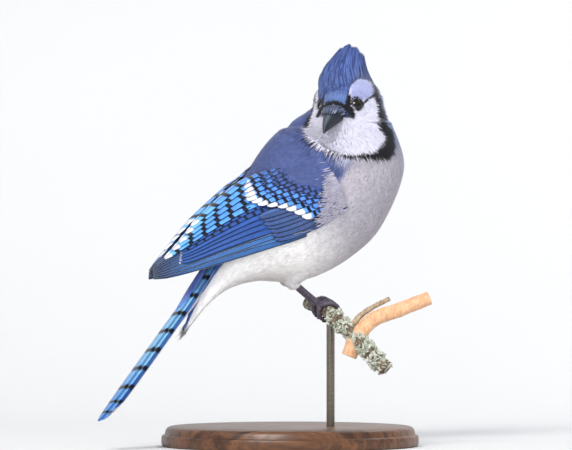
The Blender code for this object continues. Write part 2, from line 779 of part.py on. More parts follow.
def tail_pocket():
    """The room round the tail's root."""
    along, over, side = tail_frame()
    rings = []
    for t, half in ((-GAP, 6.0), (12, 8.0), (34, 9.8), (70, 13)):
        middle = TAIL_ROOT + along * t
        rings.append([
            middle + side * half * x + over * y
            for x, y in ((-1, -6.5), (0, -6.8), (1, -6.5), (1.1, 2.0), (1.1, 14), (-1.1, 14), (-1.1, 2.0))
        ])
    return loft("tail_room", rings)


def leg_root(side):
    """Hip, heel and foot of a leg; side is 1 for the right leg and -1 for the left."""
    foot = perch_at(0 if side > 0 else -FOOT_SPACING)[0]
    ankle = foot + Vector((-6.6, 0, 4.9)) + RIGHT * 0.5
    heel = ankle - FORWARD * 17.5 + UP * 13.5 + RIGHT * side * 1.0
    knee = heel + FORWARD * 8 + UP * 17 + RIGHT * side * 3
    return knee, heel, ankle


def perch_at(distance):
    """Middle and direction of the perch at a distance in front of the right foot's middle."""
    knots = [Vector(p) for p in PERCH]
    lengths = [0.0]
    dense = [Vector(p) for p in curve_points(PERCH, 121)]
    for a, b in zip(dense, dense[1:]):
        lengths.append(lengths[-1] + (b - a).length)
    start = min(range(len(dense)), key=lambda i: (dense[i] - knots[2]).length)
    goal = lengths[start] + distance
    i = min(max(k for k in range(len(dense)) if lengths[k] <= goal), len(dense) - 2)
    t = (goal - lengths[i]) / (lengths[i + 1] - lengths[i])
    return dense[i].lerp(dense[i + 1], t), (dense[i + 1] - dense[i]).normalized()


def grip_frame(side):
    """Where a foot holds the perch: its middle, the way along it, across it and out of it."""
    base, lead = perch_at(0 if side > 0 else -FOOT_SPACING)
    across = lead.cross(UP).normalized()
    if across.dot(FORWARD) < 0:
        across = -across
    rise = across.cross(lead).normalized()
    return base, lead, across, rise if rise.z > 0 else -rise


def make_toe(side, ankle, length, spread, way):
    """A toe curled round the perch; way is 1 for a front toe and -1 for the back one."""
    base, lead, across, rise = grip_frame(side)
    points, radii = [], []
    for k in range(TOE_JOINTS + 1):
        angle = TOE_START[way] - way * length * k / TOE_JOINTS / TOE_GRIP
        sideways = spread * min(1.0, 0.35 + k / TOE_JOINTS)
        out = across * math.cos(angle) + rise * math.sin(angle)
        points.append(base + lead * sideways + out * TOE_GRIP)
        radii.append(TOE_RADIUS * (1.05 - 0.25 * k / TOE_JOINTS) * (1.12 if k % 3 == 0 else 1.0))
    points.insert(0, ankle.lerp(points[0], 0.4))
    radii.insert(0, TOE_RADIUS * 1.15)
    return tube(points, radii, 8)


def make_claw(side, length, spread, way, claw_length):
    """The curved claw at the end of a toe."""
    base, lead, across, rise = grip_frame(side)
    end = TOE_START[way] - way * length / TOE_GRIP
    points, radii = [], []
    for k in range(5):
        t = k / 4
        turn = end - way * (claw_length * t + 0.9) / (TOE_GRIP + 0.6)
        out = TOE_GRIP + 0.4 - 0.9 * t
        points.append(base + lead * spread * 1.3 + (across * math.cos(turn) + rise * math.sin(turn)) * out)
        radii.append(TOE_RADIUS * (0.78 * (1 - t) + 0.12))
    return tube(points, radii, 8)


def make_leg(side, torso_room, materials):
    """Feathered thigh, scaled tarsus, foot with four toes, and four claws."""
    word = "right" if side > 0 else "left"
    knee, heel, ankle = leg_root(side)
    shank = (ankle - heel).normalized()
    thigh = tube([knee, knee.lerp(heel, 0.4), heel, heel + shank * 3.5], [11.0, 8.5, 5.0, 3.0], 12)
    boolean(thigh, [copy_of(torso_room, "room")], "DIFFERENCE")
    finish(thigh, f"thigh_{word}", materials["white_plumage"])
    top = heel + shank * (3.5 + GAP)
    tarsus = tube(
        [top, heel.lerp(ankle, 0.85), ankle - shank * ANKLE_RADIUS * 0.6],
        [TARSUS_RADIUS, TARSUS_RADIUS * 0.95, 2.5], 12,
    )
    boolean(tarsus, [ball(ankle, ANKLE_RADIUS + GAP, 12, 8)], "DIFFERENCE")
    finish(tarsus, f"tarsus_{word}", materials["leg_scale"])
    toes = [(length, spread, 1) for length, spread in zip(TOE_LENGTHS, TOE_SPREAD)]
    toes.append((HALLUX_LENGTH, 0.0, -1))
    foot = ball(ankle, ANKLE_RADIUS, 12, 8)
    boolean(foot, [make_toe(side, ankle, *toe) for toe in toes], "UNION")
    claws = [make_claw(side, *toe, CLAW_LENGTH if toe[2] > 0 else BACK_CLAW_LENGTH) for toe in toes]
    boolean(foot, [perch_room(), *[swollen(claw, GAP) for claw in claws]], "DIFFERENCE")
    finish(foot, f"foot_{word}", materials["leg_scale"])
    for claw, number in zip(claws, ("1", "2", "3", "back")):
        boolean(claw, [perch_room()], "DIFFERENCE")
        finish(claw, f"claw_{word}_{number}", materials["claw_horn"])


def swollen(obj, by):
    """A copy grown by a distance, as the room round a piece."""
    made = copy_of(obj, "room")
    swell(made, by)
    return made


def perch_tube(grow=0.0):
    """The twig under the feet, a little knobbly past them."""
    points = curve_points(PERCH, 17)
    radii = [PERCH_RADIUS + grow + (0.5 * math.sin(i * 2.1) if i > 9 else 0) for i in range(17)]
    return tube(points, radii, 16)


def perch_room():
    return perch_tube(GAP)


def make_perch(materials):
    """The lichened twig under the feet with the stub of the branch it forks from."""
    twig = perch_tube()
    branch_points = curve_points(BRANCH, 11)
    branch = tube(branch_points, [4.4 - 0.5 * i / 10 for i in range(11)], 12)
    small_points = curve_points(TWIG, 9)
    small = tube(small_points, [1.9 - 0.5 * i / 8 for i in range(9)], 8)
    boolean(twig, [branch, small], "UNION")
    finish(twig, "perch", materials["bark"])
    return twig


def make_stand(perch, materials):
    """A turned round base and the rod that holds the perch."""
    top = perch_at(4.0)[0]
    profile = (
        (0, 0), (BASE_RADIUS - 1.5, 0), (BASE_RADIUS, 1.5), (BASE_RADIUS, 6.5), (BASE_RADIUS - 1.6, 7.6),
        (BASE_RADIUS - 2.6, BASE_HEIGHT - 1.6), (BASE_RADIUS - 5.0, BASE_HEIGHT), (0, BASE_HEIGHT),
    )
    edit = bmesh.new()
    sides = 40
    rings = []
    for x, z in profile:
        if x == 0:
            rings.append([edit.verts.new((0, 0, z * MM))])
            continue
        angles = [2 * math.pi * i / sides for i in range(sides)]
        rings.append([
            edit.verts.new((x * MM * math.cos(angle), x * MM * math.sin(angle), z * MM)) for angle in angles
        ])
    for a, b in zip(rings, rings[1:]):
        for i in range(sides):
            k = (i + 1) % sides
            if len(a) == 1:
                edit.faces.new((a[0], b[k], b[i]))
            elif len(b) == 1:
                edit.faces.new((a[i], a[k], b[0]))
            else:
                edit.faces.new((a[i], a[k], b[k], b[i]))
    bmesh.ops.recalc_face_normals(edit, faces=edit.faces)
    mesh = bpy.data.meshes.new("base")
    edit.to_mesh(mesh)
    edit.free()
    base = bpy.data.objects.new("base", mesh)
    parts.objects.link(base)
    foot, end = BASE_HEIGHT - ROD_SUNK, top.z - 1.0
    rod = tube([(top.x, top.y, foot), (top.x, top.y, end)], [ROD_RADIUS] * 2, 20)
    hole = tube([(top.x, top.y, foot - GAP), (top.x, top.y, end + GAP)], [ROD_RADIUS + GAP] * 2, 20)
    boolean(base, [copy_of(hole, "base_hole")], "DIFFERENCE")
    boolean(perch, [hole], "DIFFERENCE")
    finish(base, "stand_base", materials["base_wood"])
    finish(rod, "stand_rod", materials["rod_metal"])
    finish(perch, "perch", materials["bark"])


parts = bpy.data.collections.new("blue_jay")


def main():
    clear_scene()
    bpy.context.scene.collection.children.link(parts)
    materials = {
        "blue_plumage": make_material("blue_plumage", (0.12, 0.2, 0.55), 0.8),
        "white_plumage": make_material("white_plumage", (0.8, 0.78, 0.8), 0.9),
        "black_plumage": make_material("black_plumage", (0.02, 0.02, 0.03), 0.8),
        "bill_horn": make_material("bill_horn", (0.03, 0.03, 0.035), 0.4),
        "eye_gloss": make_material("eye_gloss", (0.01, 0.008, 0.006), 0.1),
        "leg_scale": make_material("leg_scale", (0.07, 0.06, 0.07), 0.5),
        "claw_horn": make_material("claw_horn", (0.02, 0.02, 0.02), 0.35),
        "bark": make_material("bark", (0.3, 0.24, 0.18), 0.9),
        "base_wood": make_material("base_wood", (0.16, 0.09, 0.05), 0.5),
        "rod_metal": make_material("rod_metal", (0.35, 0.33, 0.3), 0.4, 1.0),
    }
    head, torso = make_body(materials)
    make_head(head, materials)
    make_bill(head, materials)
    wing = make_wing(materials)
    room = wing_sheet("wing_room", *WING_ROOM, -12.0, WING_CORE_DEPTH + WING_CORE_THICK + GAP, rows=14)
    left_room = mirrored(room, "left_room")
    boolean(torso, [room, left_room], "DIFFERENCE")
    finish(mirrored(wing, "wing_left"), "wing_left", materials["blue_plumage"])
    make_tail(materials)
    boolean(torso, [tail_pocket()], "DIFFERENCE")
    torso_room = swollen(torso, GAP)
    for side in (1, -1):
        make_leg(side, torso_room, materials)
    bpy.data.objects.remove(torso_room)
    finish(torso, "torso", materials["white_plumage"])
    perch = make_perch(materials)
    make_stand(perch, materials)


main()
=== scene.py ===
"""The looks of a life-size blue jay on a short cut branch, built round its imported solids.

The bird faces FORWARD with its head turned back over its right shoulder, along FACE. Lengths
are in millimetres until a mesh is made. One skin carries the coat, which is many thin tufts
that lie along the body. The flight feathers, tail, crest and coverts are vanes of their own.
"""

import math

import bmesh
import bpy
import numpy as np
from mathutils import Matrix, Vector
from mathutils.kdtree import KDTree


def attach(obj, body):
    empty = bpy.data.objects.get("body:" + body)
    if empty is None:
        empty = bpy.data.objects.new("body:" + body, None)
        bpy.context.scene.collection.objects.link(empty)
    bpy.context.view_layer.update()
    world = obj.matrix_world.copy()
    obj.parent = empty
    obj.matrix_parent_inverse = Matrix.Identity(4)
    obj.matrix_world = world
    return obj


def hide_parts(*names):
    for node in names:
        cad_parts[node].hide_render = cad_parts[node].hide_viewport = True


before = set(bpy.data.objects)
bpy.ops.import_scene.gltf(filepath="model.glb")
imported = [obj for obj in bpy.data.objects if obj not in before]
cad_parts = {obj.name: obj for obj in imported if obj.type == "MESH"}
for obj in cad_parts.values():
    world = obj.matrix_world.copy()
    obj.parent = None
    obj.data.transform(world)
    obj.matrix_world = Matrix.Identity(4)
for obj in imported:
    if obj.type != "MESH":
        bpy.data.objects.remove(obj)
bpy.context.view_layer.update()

MM = 0.001
UP = np.array((0.0, 0.0, 1.0))
rng = np.random.default_rng(11)

# The width of the photograph in pixels, and how many of them make a millimetre at the bird.
FRAME_WIDE = 572
PIXELS_PER_MM = 1.65
CAMERA_AWAY = 3000.0
CAMERA_AT = (-2.42, 133.97)

# The bird's heading and its own right side.
BODY_YAW = math.radians(25)
FORWARD = np.array((math.cos(BODY_YAW), math.sin(BODY_YAW), 0.0))
RIGHT = np.array((math.sin(BODY_YAW), -math.cos(BODY_YAW), 0.0))

# The head is turned HEAD_YAW off -Y and bowed HEAD_PITCH.
HEAD_YAW = math.radians(22)
HEAD_PITCH = math.radians(20)
FACE = np.array((
    -math.sin(HEAD_YAW) * math.cos(HEAD_PITCH),
    -math.cos(HEAD_YAW) * math.cos(HEAD_PITCH),
    -math.sin(HEAD_PITCH),
))
HEAD_LEFT = np.array((math.cos(HEAD_YAW), -math.sin(HEAD_YAW), 0.0))
HEAD_UP = np.cross(FACE, HEAD_LEFT)
BETWEEN_EYES = np.array((29.65, 0.3, 206.4))

# The body from the tip of the undertail coverts to the neck: the middle of each section as
# (along FORWARD, height), then its reach to the belly, to the back and to each side.
TRUNK = (
    (-66.5, 76.0, 1.5, 2.0, 2.5),
    (-58.5, 88.5, 3.5, 5.0, 8.0),
    (-48.5, 101.0, 8.0, 9.0, 13.5),
    (-36.0, 114.0, 18.5, 17.0, 20.0),
    (-24.0, 124.0, 30.0, 30.0, 28.0),
    (-8.0, 134.5, 39.0, 35.5, 33.5),
    (11.0, 147.5, 43.0, 43.0, 35.5),
    (27.5, 161.5, 42.5, 44.0, 34.5),
    (38.5, 175.5, 36.5, 42.5, 30.0),
)
# The neck and head: middle, reach to the face, nape and cheeks, and the bulge of the face.
HEAD_STACK = (
    (31.4, 14.5, 194.8, 23.5, 28.0, 31.6, 2.0),
    (34.8, 12.5, 200.0, 23.5, 26.0, 25.4, 1.6),
    (34.9, 12.5, 205.5, 24.8, 25.5, 21.5, 1.4),
    (35.2, 14.0, 213.0, 20.5, 21.5, 19.6, 1.6),
    (36.0, 16.5, 220.0, 12.5, 14.5, 14.0, 1.9),
    (36.5, 18.5, 225.5, 4.0, 5.0, 5.0, 2.0),
)
FORM_SIDES = 180
FORM_BETWEEN = 12
NECK_RING = len(TRUNK)

EYE_RADIUS = 4.6
EYE_OUT = 9.9
EYE_ASIDE = 0.6
EYE_AHEAD = math.radians(41)
EYE_RAISED = 0.12
LID_RADIUS = 4.1
# How far the cornea bulges, as a share of the eye's radius, and over what angle.
CORNEA_BULGE = 0.035
CORNEA_SPREAD = math.radians(34)
# The lid's rim: its half width, its half height and how many beads it has.
LID_HALF = 0.38
LID_HIGH = 0.3
LID_BEADS = 24
PUPIL_SPREAD = math.radians(24)

BILL_LENGTH = 26.5
BILL_SUNK = 4.5
BILL_BASE = BETWEEN_EYES + FACE * 8.3 - HEAD_UP * 3.2
BILL_DIP = math.radians(7)
# Along the bill: half width, height over the mouth line, depth below it, and droop of that line.
BILL_SECTIONS = (
    (0.00, 5.4, 4.6, 3.8, 0.0),
    (0.20, 6.4, 5.3, 4.2, 0.0),
    (0.40, 5.3, 4.8, 3.6, 0.1),
    (0.60, 3.9, 4.0, 2.7, 0.3),
    (0.80, 2.3, 2.9, 1.7, 0.7),
    (0.93, 1.1, 1.6, 0.9, 1.2),
    (1.00, 0.4, 0.5, 0.5, 1.9),
)
# How many bristles lie over the bill's base.
BRISTLES = 900

CREST_FOOT = np.array((34.4, 13.5, 209.0))
CREST_TIP = np.array((38.2, 29.0, 244.6))
# The crest's half width at places along its axis.
CREST_PROFILE = (
    (0.0, 17.5), (0.12, 17.4), (0.31, 16.4), (0.56, 12.9), (0.72, 9.8), (0.84, 7.6), (0.91, 6.6), (1.0, 2.6),
)
# How far its middle bows to the left of the straight line, and how high it ends from left to right.
CREST_BOW = 2.3
CREST_TOP = ((-1, 0.82), (-0.78, 0.92), (-0.45, 0.86), (0, 0.985), (0.42, 0.88), (0.8, 0.9), (1, 0.8))
# The share of the crest's line above which the whole head is crown.
CREST_START = 0.31
# How many crest feathers stand on a square millimetre of the crown.
CREST_DENSITY = 4.5
# How wide a crest feather is from its root to its point.
CREST_BLADE = (0.6, 0.9, 1.0, 1.0, 0.9, 0.6, 0.0)

# The folded wing from shoulder to tip: its back edge, then its lower edge, as (forward, right, height).
WING_INNER = (
    (-3.7, 8, 180), (-31.5, 2.2, 163.5), (-58, 1.0, 141), (-78, 0.6, 121.8), (-96.8, 0.8, 104.6),
)
WING_EDGE = (
    (14, 36.5, 140), (-10.2, 38.5, 129), (-41.9, 34.5, 120.6), (-70, 21.5, 111.5), (-97.2, 2.4, 102),
)
# How far it bulges out between the two.
WING_BULGE = (12.5, 10.0, 7.0, 4.0, 0.5)
# How far across the wing the mantle covers it at the shoulder, and how fast that falls along the wing.
MANTLE_COVER = 0.60
MANTLE_SLOPE = 2.3

TAIL_ROOT = np.array((-40.4, -18.6, 120.5))
TAIL_PITCH = math.radians(50.5)
TAIL_YAW = math.radians(30)
TAIL_ROLL = math.radians(7)
TAIL_LENGTH = 133.0
# From the middle pair outward: how much shorter a tail feather is, and how far out it lies.
TAIL_SHORTENING = (0.0, 1.0, 2.5, 4.5, 7.5, 12.0)
TAIL_OUT = (0.5, 3.6, 3.9, 4.1, 4.3, 5.0)
TAIL_LAYER = 0.6
TAIL_HALF = 8.6
TAIL_TOP_HALF = 6.3
# Where the tail's black bars cross its middle, along it from its root.
TAIL_BARS = (10.4, 24.4, 38.4, 52.2, 65.7, 80.4, 94.2, 108.8, 119.7, 127.0, 134.0)

# The twig under the feet: its radius and middle line. Then the peeled branch's line and the thin twig's.
PERCH_RADIUS = 4.2
PERCH = (
    (12, 44, 86), (20, 17, 83.3), (23.3, 0, 81.5), (29, -12, 76), (39.4, -24, 66.5),
    (48, -31, 57), (57.5, -37, 48),
)
BRANCH = ((35.5, -24.5, 55), (40, -24, 66), (50, -22, 77), (66, -20, 83), (84, -18, 90))
TWIG = ((35, -20, 70), (42, -19, 79), (50, -17, 84.5), (60, -14, 89.5))
BRANCH_RADII = (4.6, 4.9, 4.5, 4.3, 4.1)
TWIG_RADII = (1.9, 1.7, 1.5, 1.4)
# How many leaves of lichen are tried along the perch.
LICHEN_LEAVES = 900

# Columns of a vane's blade from its left edge to its right, its thickness and the shaft's rise.
VANE_COLUMNS = np.array((-1.0, -0.7, -0.35, -0.1, 0.1, 0.35, 0.7, 1.0))
VANE_THICK = 0.22
SHAFT_RISE = 0.12
# How far a feather of the wing may stand off its even place in the row.
STEP_WANDER = 0.004
# Where the greater coverts' white tips end along the wing, by place across it.
WHITE_BAR = (
    (-0.1, 0.27), (0.12, 0.305), (0.25, 0.325), (0.38, 0.35), (0.53, 0.33), (0.62, 0.28), (0.78, 0.22),
    (1.0, 0.15),
)
# How far in front of the white bar the barred coverts begin, by place across the wing.
BARRED_BACK = ((0, 0.09), (0.25, 0.10), (0.45, 0.175), (0.72, 0.215), (1, 0.2))
# How far back from the shoulder the breast's feathers lie over the wing, by place across it.
BREAST_OVER_WING = (
    (0, -0.2), (0.5, -0.08), (0.62, -0.02), (0.72, 0.02), (0.8, 0.06), (0.86, 0.09), (1, 0.15),
)

# Round swellings of the plumage: where, how far across and how high.
SWELLS = (((1.0, 14.0, 192.0), 8.0, 1.4),)
# Most places of the markings below, down to MANTLE_EDGE, were found by casting rays through points
# picked in the photograph onto the form. They were rounded, and some were then moved. Widths
# and what the photograph hides were set one by one.
# The black collar's middle line right round the head, as ahead, aside, up and half width.
COLLAR = (
    (-25, 0, 12, 1.2), (-20.7, 13.7, 7.3, 1.7), (-18.6, 16.2, 5.6, 1.9), (-11.6, 19.0, 2.0, 1.9),
    (-12.1, 21.1, -3.3, 2.2), (-8.9, 22.6, -7.7, 2.6), (-4.9, 24.4, -11.9, 3.0), (-1.8, 26.1, -14.0, 3.8),
    (-3.0, 27.8, -18.0, 3.8), (-2.7, 28.6, -22.2, 4.2), (0.3, 28.5, -26.6, 4.6), (3.8, 27.3, -28.2, 4.4),
    (8.5, 24.7, -28.9, 3.0), (14.3, 20.4, -28.0, 1.8), (21.3, 14.2, -25.9, 1.1), (25.7, 10.4, -24.3, 0.8),
    (30.8, 4.8, -21.2, 0.6), (33.2, -1.2, -18.1, 0.6), (33.0, -6.4, -14.9, 0.7), (29.7, -11.7, -10.9, 0.9),
    (24.5, -15.0, -11.5, 1.2), (19.0, -17.1, -12.2, 1.7), (13.5, -17.9, -9.7, 1.7), (8.4, -18.1, -7.0, 1.6),
    (3.9, -17.4, -4.1, 1.4), (-4.6, -17.5, -1.5, 1.3), (-12, -18, 4, 1.3), (-20, -13, 8, 1.3),
    (-25, 0, 12, 1.2),
)
# Lines that are alike on both sides of the face, in the same four numbers.
EYE_LINE = (
    (-2.6, 15.9, 1.0, 0.7), (-5.6, 17.1, 1.8, 0.6), (-8.2, 18.1, 2.2, 0.6), (-11.6, 19.0, 2.4, 0.8),
)
LORE_LINE = (
    (10.0, 0, 5.0, 1.5), (9.5, 2.9, 4.6, 1.4), (8.7, 5.6, 3.1, 1.5), (7.8, 7.7, 1.6, 1.9), (6.9, 9.7, 0, 2.1),
    (7.5, 10.6, -2.3, 2.0), (8.0, 11.2, -4.1, 1.5), (8.3, 11.8, -5.6, 0.5),
)
LORE_SPUR = (
    (7.4, 8.8, 1.5, 2.2), (6.2, 8.6, 3.0, 2.0), (3.9, 8.7, 5.3, 1.5), (2.0, 8.3, 7.3, 1.0),
    (0.8, 7.8, 8.6, 0.3),
)
# How far the black line stands from the bill, by angle round the bill from its top.
LORE_REACH = ((0, 8.4), (42, 8.4), (58, 9.1), (72, 10.3), (85, 10.7), (104, 11.2))
# The white face's lower edge by bearing off the bill, in degrees.
FACE_EDGE = (
    (-180, 14), (-150, 14), (-123, 6), (-105, -5), (-77, -13), (-65, -19), (-53, -23), (-40, -24), (-21, -19),
    (-11, -24), (-2, -28), (9, -34), (22, -41), (41, -46), (54, -47.5), (71, -47), (82, -46), (89, -43),
    (95, -33), (101, -26), (111, -18), (120, -8), (124, 3), (139, 13), (147, 16), (180, 14),
)
# The ring above which the face is white under the bill, by the same bearing.
FACE_RING = (
    (-180, 99), (-70, 99), (-60, 9.0), (-53, 8.75), (-42, 8.55), (-32, 7.8), (-21, 6.95), (-2, 6.85),
    (9, 7.15), (22, 7.6), (41, 7.95), (54, 8.05), (60, 99), (180, 99),
)
# How far right the white face reaches, by how far ahead of the eyes.
FACE_SIDE = ((8, -30), (13.5, -18), (19, -17.2), (25, -14.5), (29.5, -11.5), (32.8, -6.4), (36, -1))
# The blue crown's lower edge by the same bearing.
CROWN_EDGE = (
    (-180, 18), (-150, 20), (-135, 22), (-115, 19), (-97, 15), (-80, 11), (-60, 14), (-40, 21), (-28, 25),
    (0, 29), (28, 26), (40, 20), (50, 16), (60, 26), (76, 41), (86, 48), (104, 52), (124, 49), (136, 42),
    (146, 36), (152, 28), (180, 18),
)
# The pale brow's middle and half size, in degrees off the bill and up.
BROW_BEARING = 114
BROW_WIDE = 38
BROW_HEIGHT = 28
BROW_HIGH = 22
# The dark ring round each eye: how far it stands from the eye's middle, and its half width.
EYE_RING = 5.3
EYE_RING_HALF = 0.35
# The mantle's edge round the body from the belly, by ring.
MANTLE_EDGE = (
    (0, 132), (1, 130), (2.2, 125), (3.0, 118), (3.8, 106), (4.5, 100), (5.5, 96), (5.8, 93),
    (6.2, 97), (6.7, 101), (7.3, 105), (8.4, 112), (10, 116),
)
# The waves that fray the mantle's edge over the neck.
FRAY_WAVES = ((1.1, 2.7, 0.9), (-3.9, 1.6, 2.3), (1.4, -4.2, 3.3), (4.7, 2.1, -3.6), (-2.3, 5.9, 4.1))
# The names of the markings, each a mask from 0 to 1 that the coat's material reads.
MARK_NAMES = (
    "black", "white", "crown", "brow", "bristle", "forehead", "mantle", "sky", "breast", "rump",
)
# The rings between which the neck folds back into the shoulders, and how far the bridge over it arches.
FOLD = (7.0, 8.9)
FOLD_ARCH = 0.7

# The ring from which the coat is the head's.
HEAD_RING = 10.4
# How deep the coat is over the skin, and how many tufts stand on a square millimetre, by ring.
COAT_DEPTH = ((0, 0.8), (1, 1.2), (3, 2.0), (8, 2.0), (9.5, 1.4), (10.5, 0.9), (14, 0.9))
COAT_DENSITY = ((0, 2.6), (3, 2.4), (8, 2.8), (9.5, 4.0), (10.6, 8.0), (14, 8.0))
# How many stand on one of a thigh.
THIGH_DENSITY = 2.4
# How many feathers are tried over the front of each wing.
WING_FRONT_TUFTS = 11000
# How long the head's tufts are, by distance from the bill's base.
FACE_TUFTS = ((5, 1.6), (11, 2.8), (20, 5.2), (32, 7.2), (46, 8.4))
# The voxels that join the skin, and the room under the wings.
SKIN_VOXEL = 1.1
WING_ROOM = 4.3
# Half the width of a tuft's patch in the map that its colours are baked to.
PATCH_HALF = 0.0014
# The most tufts in one piece of the coat, and how far a tuft's shading rounds to its sides.
MOST_TUFTS = 19500
TUFT_ROUND = 0.35

# The bare leg's radius by share of its length.
SHANK_RADII = ((0, 2.3), (0.1, 1.95), (0.5, 1.75), (0.9, 1.9), (1, 2.3))
# The feathered thigh's radii from its hip down, and how far it goes on past the heel.
THIGH_RADII = (11.0, 8.6, 4.6, 2.3)
THIGH_PAST_HEEL = 4.5
# The ankle from the perch's middle, the heel from the ankle and the knee from the heel.
ANKLE_OFF = np.array((-6.6, 0, 4.9))
HEEL_BACK = 17.5
HEEL_UP = 13.5
KNEE_AHEAD = 8.0
KNEE_UP = 17.0
KNEE_OUT = 3.0
# How far apart the feet stand along the perch.
FOOT_SPACING = 17.0
TOE_RADIUS = 1.35
TOE_GRIP = PERCH_RADIUS + 0.3 + TOE_RADIUS
# Each toe's length, its place along the perch from the foot's middle, and which way it goes round.
TOES = ((9.5, -3.6, 1), (12.0, 0.0, 1), (11.0, 3.6, 1), (8.0, 0.0, -1))
# Where a toe starts round the perch and how long its claw is, for toes that go either way.
TOE_START = {1: math.radians(135), -1: math.radians(160)}
CLAW_LENGTH = {1: 5.5, -1: 6.5}

# The stand: the base's size, the rod's radius, and how far the rod goes down into the base.
BASE_RADIUS = 78.0
BASE_HEIGHT = 12.0
ROD_RADIUS = 2.5
ROD_SUNK = 6.0

# Colours that all vanes share, as they look on screen: dark edges, black bars, white tips and pale edges.
DARK_EDGE = (18, 20, 34)
FEATHER_BAR = (14, 15, 26)
FEATHER_TIP = (228, 228, 236)
PALE_EDGE = (200, 212, 232)

# The studio: where the sheet starts in front, where it curves up, by what radius, and its top and half width.
SHEET_FRONT = -1200
SHEET_BEND = 350
SHEET_CURVE = 450
SHEET_TOP = 2200
SHEET_HALF = 1600
# Each light's place, what it aims at, its size, power and tint, and whether it glints in gloss.
LIGHTS = (
    ("key", (-700, -1500, 1500), (0, 0, 120), 700, 36, (1.0, 0.98, 0.95), True),
    ("fill", (1400, -900, 500), (0, 0, 130), 900, 11, (0.9, 0.95, 1.0), False),
    ("back", (500, 700, 1200), (0, 0, 150), 500, 8, (1, 1, 1), True),
    ("low", (-200, -1500, 120), (0, 0, 110), 900, 13, (1, 1, 1), False),
)
WORLD_TINT = (0.86, 0.9, 1.0, 1)
WORLD_STRENGTH = 0.55


def unit(v):
    """Vectors at length 1."""
    return v / np.maximum(np.linalg.norm(v, axis=-1, keepdims=True), 1e-9)


def dot(a, b):
    """Dot products along the last axis."""
    return np.sum(a * b, axis=-1)


def smooth(low, high, x):
    """0 up to low, 1 from high on and a smooth slope between; low may be the greater of the two."""
    t = np.clip((x - low) / (high - low), 0, 1)
    return t * t * (3 - 2 * t)


def through(knots, places):
    """The smooth curve through the knots at places counted in knots, straight past both ends."""
    knots = np.asarray(knots, float)
    places = np.asarray(places, float)
    span = np.clip(np.floor(places).astype(int), 0, len(knots) - 2)
    t = (places - span).reshape(places.shape + (1,) * (knots.ndim - 1))
    padded = np.concatenate([[2 * knots[0] - knots[1]], knots, [2 * knots[-1] - knots[-2]]])
    a, b, c, d = (padded[span + k] for k in range(4))
    square, cube = (2 * a - 5 * b + 4 * c - d) * t**2, (3 * b - a - 3 * c + d) * t**3
    bent = 0.5 * (2 * b + (c - a) * t + square + cube)
    return np.where((t < 0) | (t > 1), b + (c - b) * t, bent)


def turned(v, axis, angle):
    """A vector turned about an axis."""
    axis = unit(axis)
    along = axis * dot(axis, v)[..., None]
    return along + (v - along) * np.cos(angle) + np.cross(axis, v) * np.sin(angle)


# Meshes


def triangle_mesh(name, points, triangles, material):
    """A mesh object from arrays of points in millimetres and of triangles."""
    mesh = bpy.data.meshes.new(name)
    mesh.vertices.add(len(points))
    mesh.vertices.foreach_set("co", (np.asarray(points, np.float32) * MM).ravel())
    mesh.loops.add(triangles.size)
    mesh.loops.foreach_set("vertex_index", triangles.astype(np.int32).ravel())
    mesh.polygons.add(len(triangles))
    mesh.polygons.foreach_set("loop_start", np.arange(0, triangles.size, 3, dtype=np.int32))
    mesh.update(calc_edges=True)
    mesh.shade_smooth()
    mesh.materials.append(material)
    made = bpy.data.objects.new(name, mesh)
    bpy.context.scene.collection.objects.link(made)
    return made


def soften(made, normals):
    """Shades a piece by the lie of the coat rather than by each blade's own faces."""
    made.data.normals_split_custom_set_from_vertices(unit(normals.reshape(-1, 3)).tolist())


def give_values(made, name, values):
    """One number on every vertex, which the materials read by its name."""
    layer = made.data.attributes.get(name) or made.data.attributes.new(name, "FLOAT", "POINT")
    layer.data.foreach_set("value", np.asarray(values, np.float32).ravel())


def give_map(made, name, places):
    """A UV map from one place per vertex."""
    layer = made.data.uv_layers.new(name=name)
    corners = np.empty(len(made.data.loops), np.int32)
    made.data.loops.foreach_get("vertex_index", corners)
    layer.data.foreach_set("uv", np.asarray(places, np.float32)[corners].ravel())


def ring_mesh(name, rings, material):
    """A closed skin over rings of points, as a triangle mesh."""
    rings = np.asarray(rings, float)
    rows, sides = rings.shape[:2]
    points = rings.reshape(-1, 3)
    i, j = np.meshgrid(np.arange(rows - 1), np.arange(sides), indexing="ij")
    a = (i * sides + j).ravel()
    b = (i * sides + (j + 1) % sides).ravel()
    first, last = len(points), len(points) + 1
    points = np.concatenate([points, [rings[0].mean(0)], [rings[-1].mean(0)]])
    j = np.arange(sides)
    k = (j + 1) % sides
    top = (rows - 1) * sides
    made = triangle_mesh(name, points, np.concatenate([
        np.stack([a, b, b + sides], 1), np.stack([a, b + sides, a + sides], 1),
        np.stack([np.full(sides, first), k, j], 1), np.stack([np.full(sides, last), top + j, top + k], 1),
    ]), material)
    face_out(made)
    return made


def face_out(made):
    """Turns a closed mesh's faces outward."""
    edit = bmesh.new()
    edit.from_mesh(made.data)
    if edit.calc_volume(signed=True) < 0:
        bmesh.ops.reverse_faces(edit, faces=edit.faces)
    edit.to_mesh(made.data)
    edit.free()


def tube_rings(points, radii, sides):
    """Round sections along a path, with no twist between them."""
    points = np.asarray(points, float)
    along = unit(np.gradient(points, axis=0))
    side = unit(np.cross(along[0], UP + 0.1 * FORWARD))
    rings = []
    angles = np.linspace(0, 2 * math.pi, sides, endpoint=False)
    for point, way, radius in zip(points, along, radii):
        side = unit(side - way * side.dot(way))
        other = np.cross(way, side)
        # Shapes nothing: it keeps the later random draws in their places.
        rng.random(sides)
        rings.append(point + (np.outer(np.cos(angles), side) + np.outer(np.sin(angles), other)) * radius)
    return np.array(rings)


# The bird's form


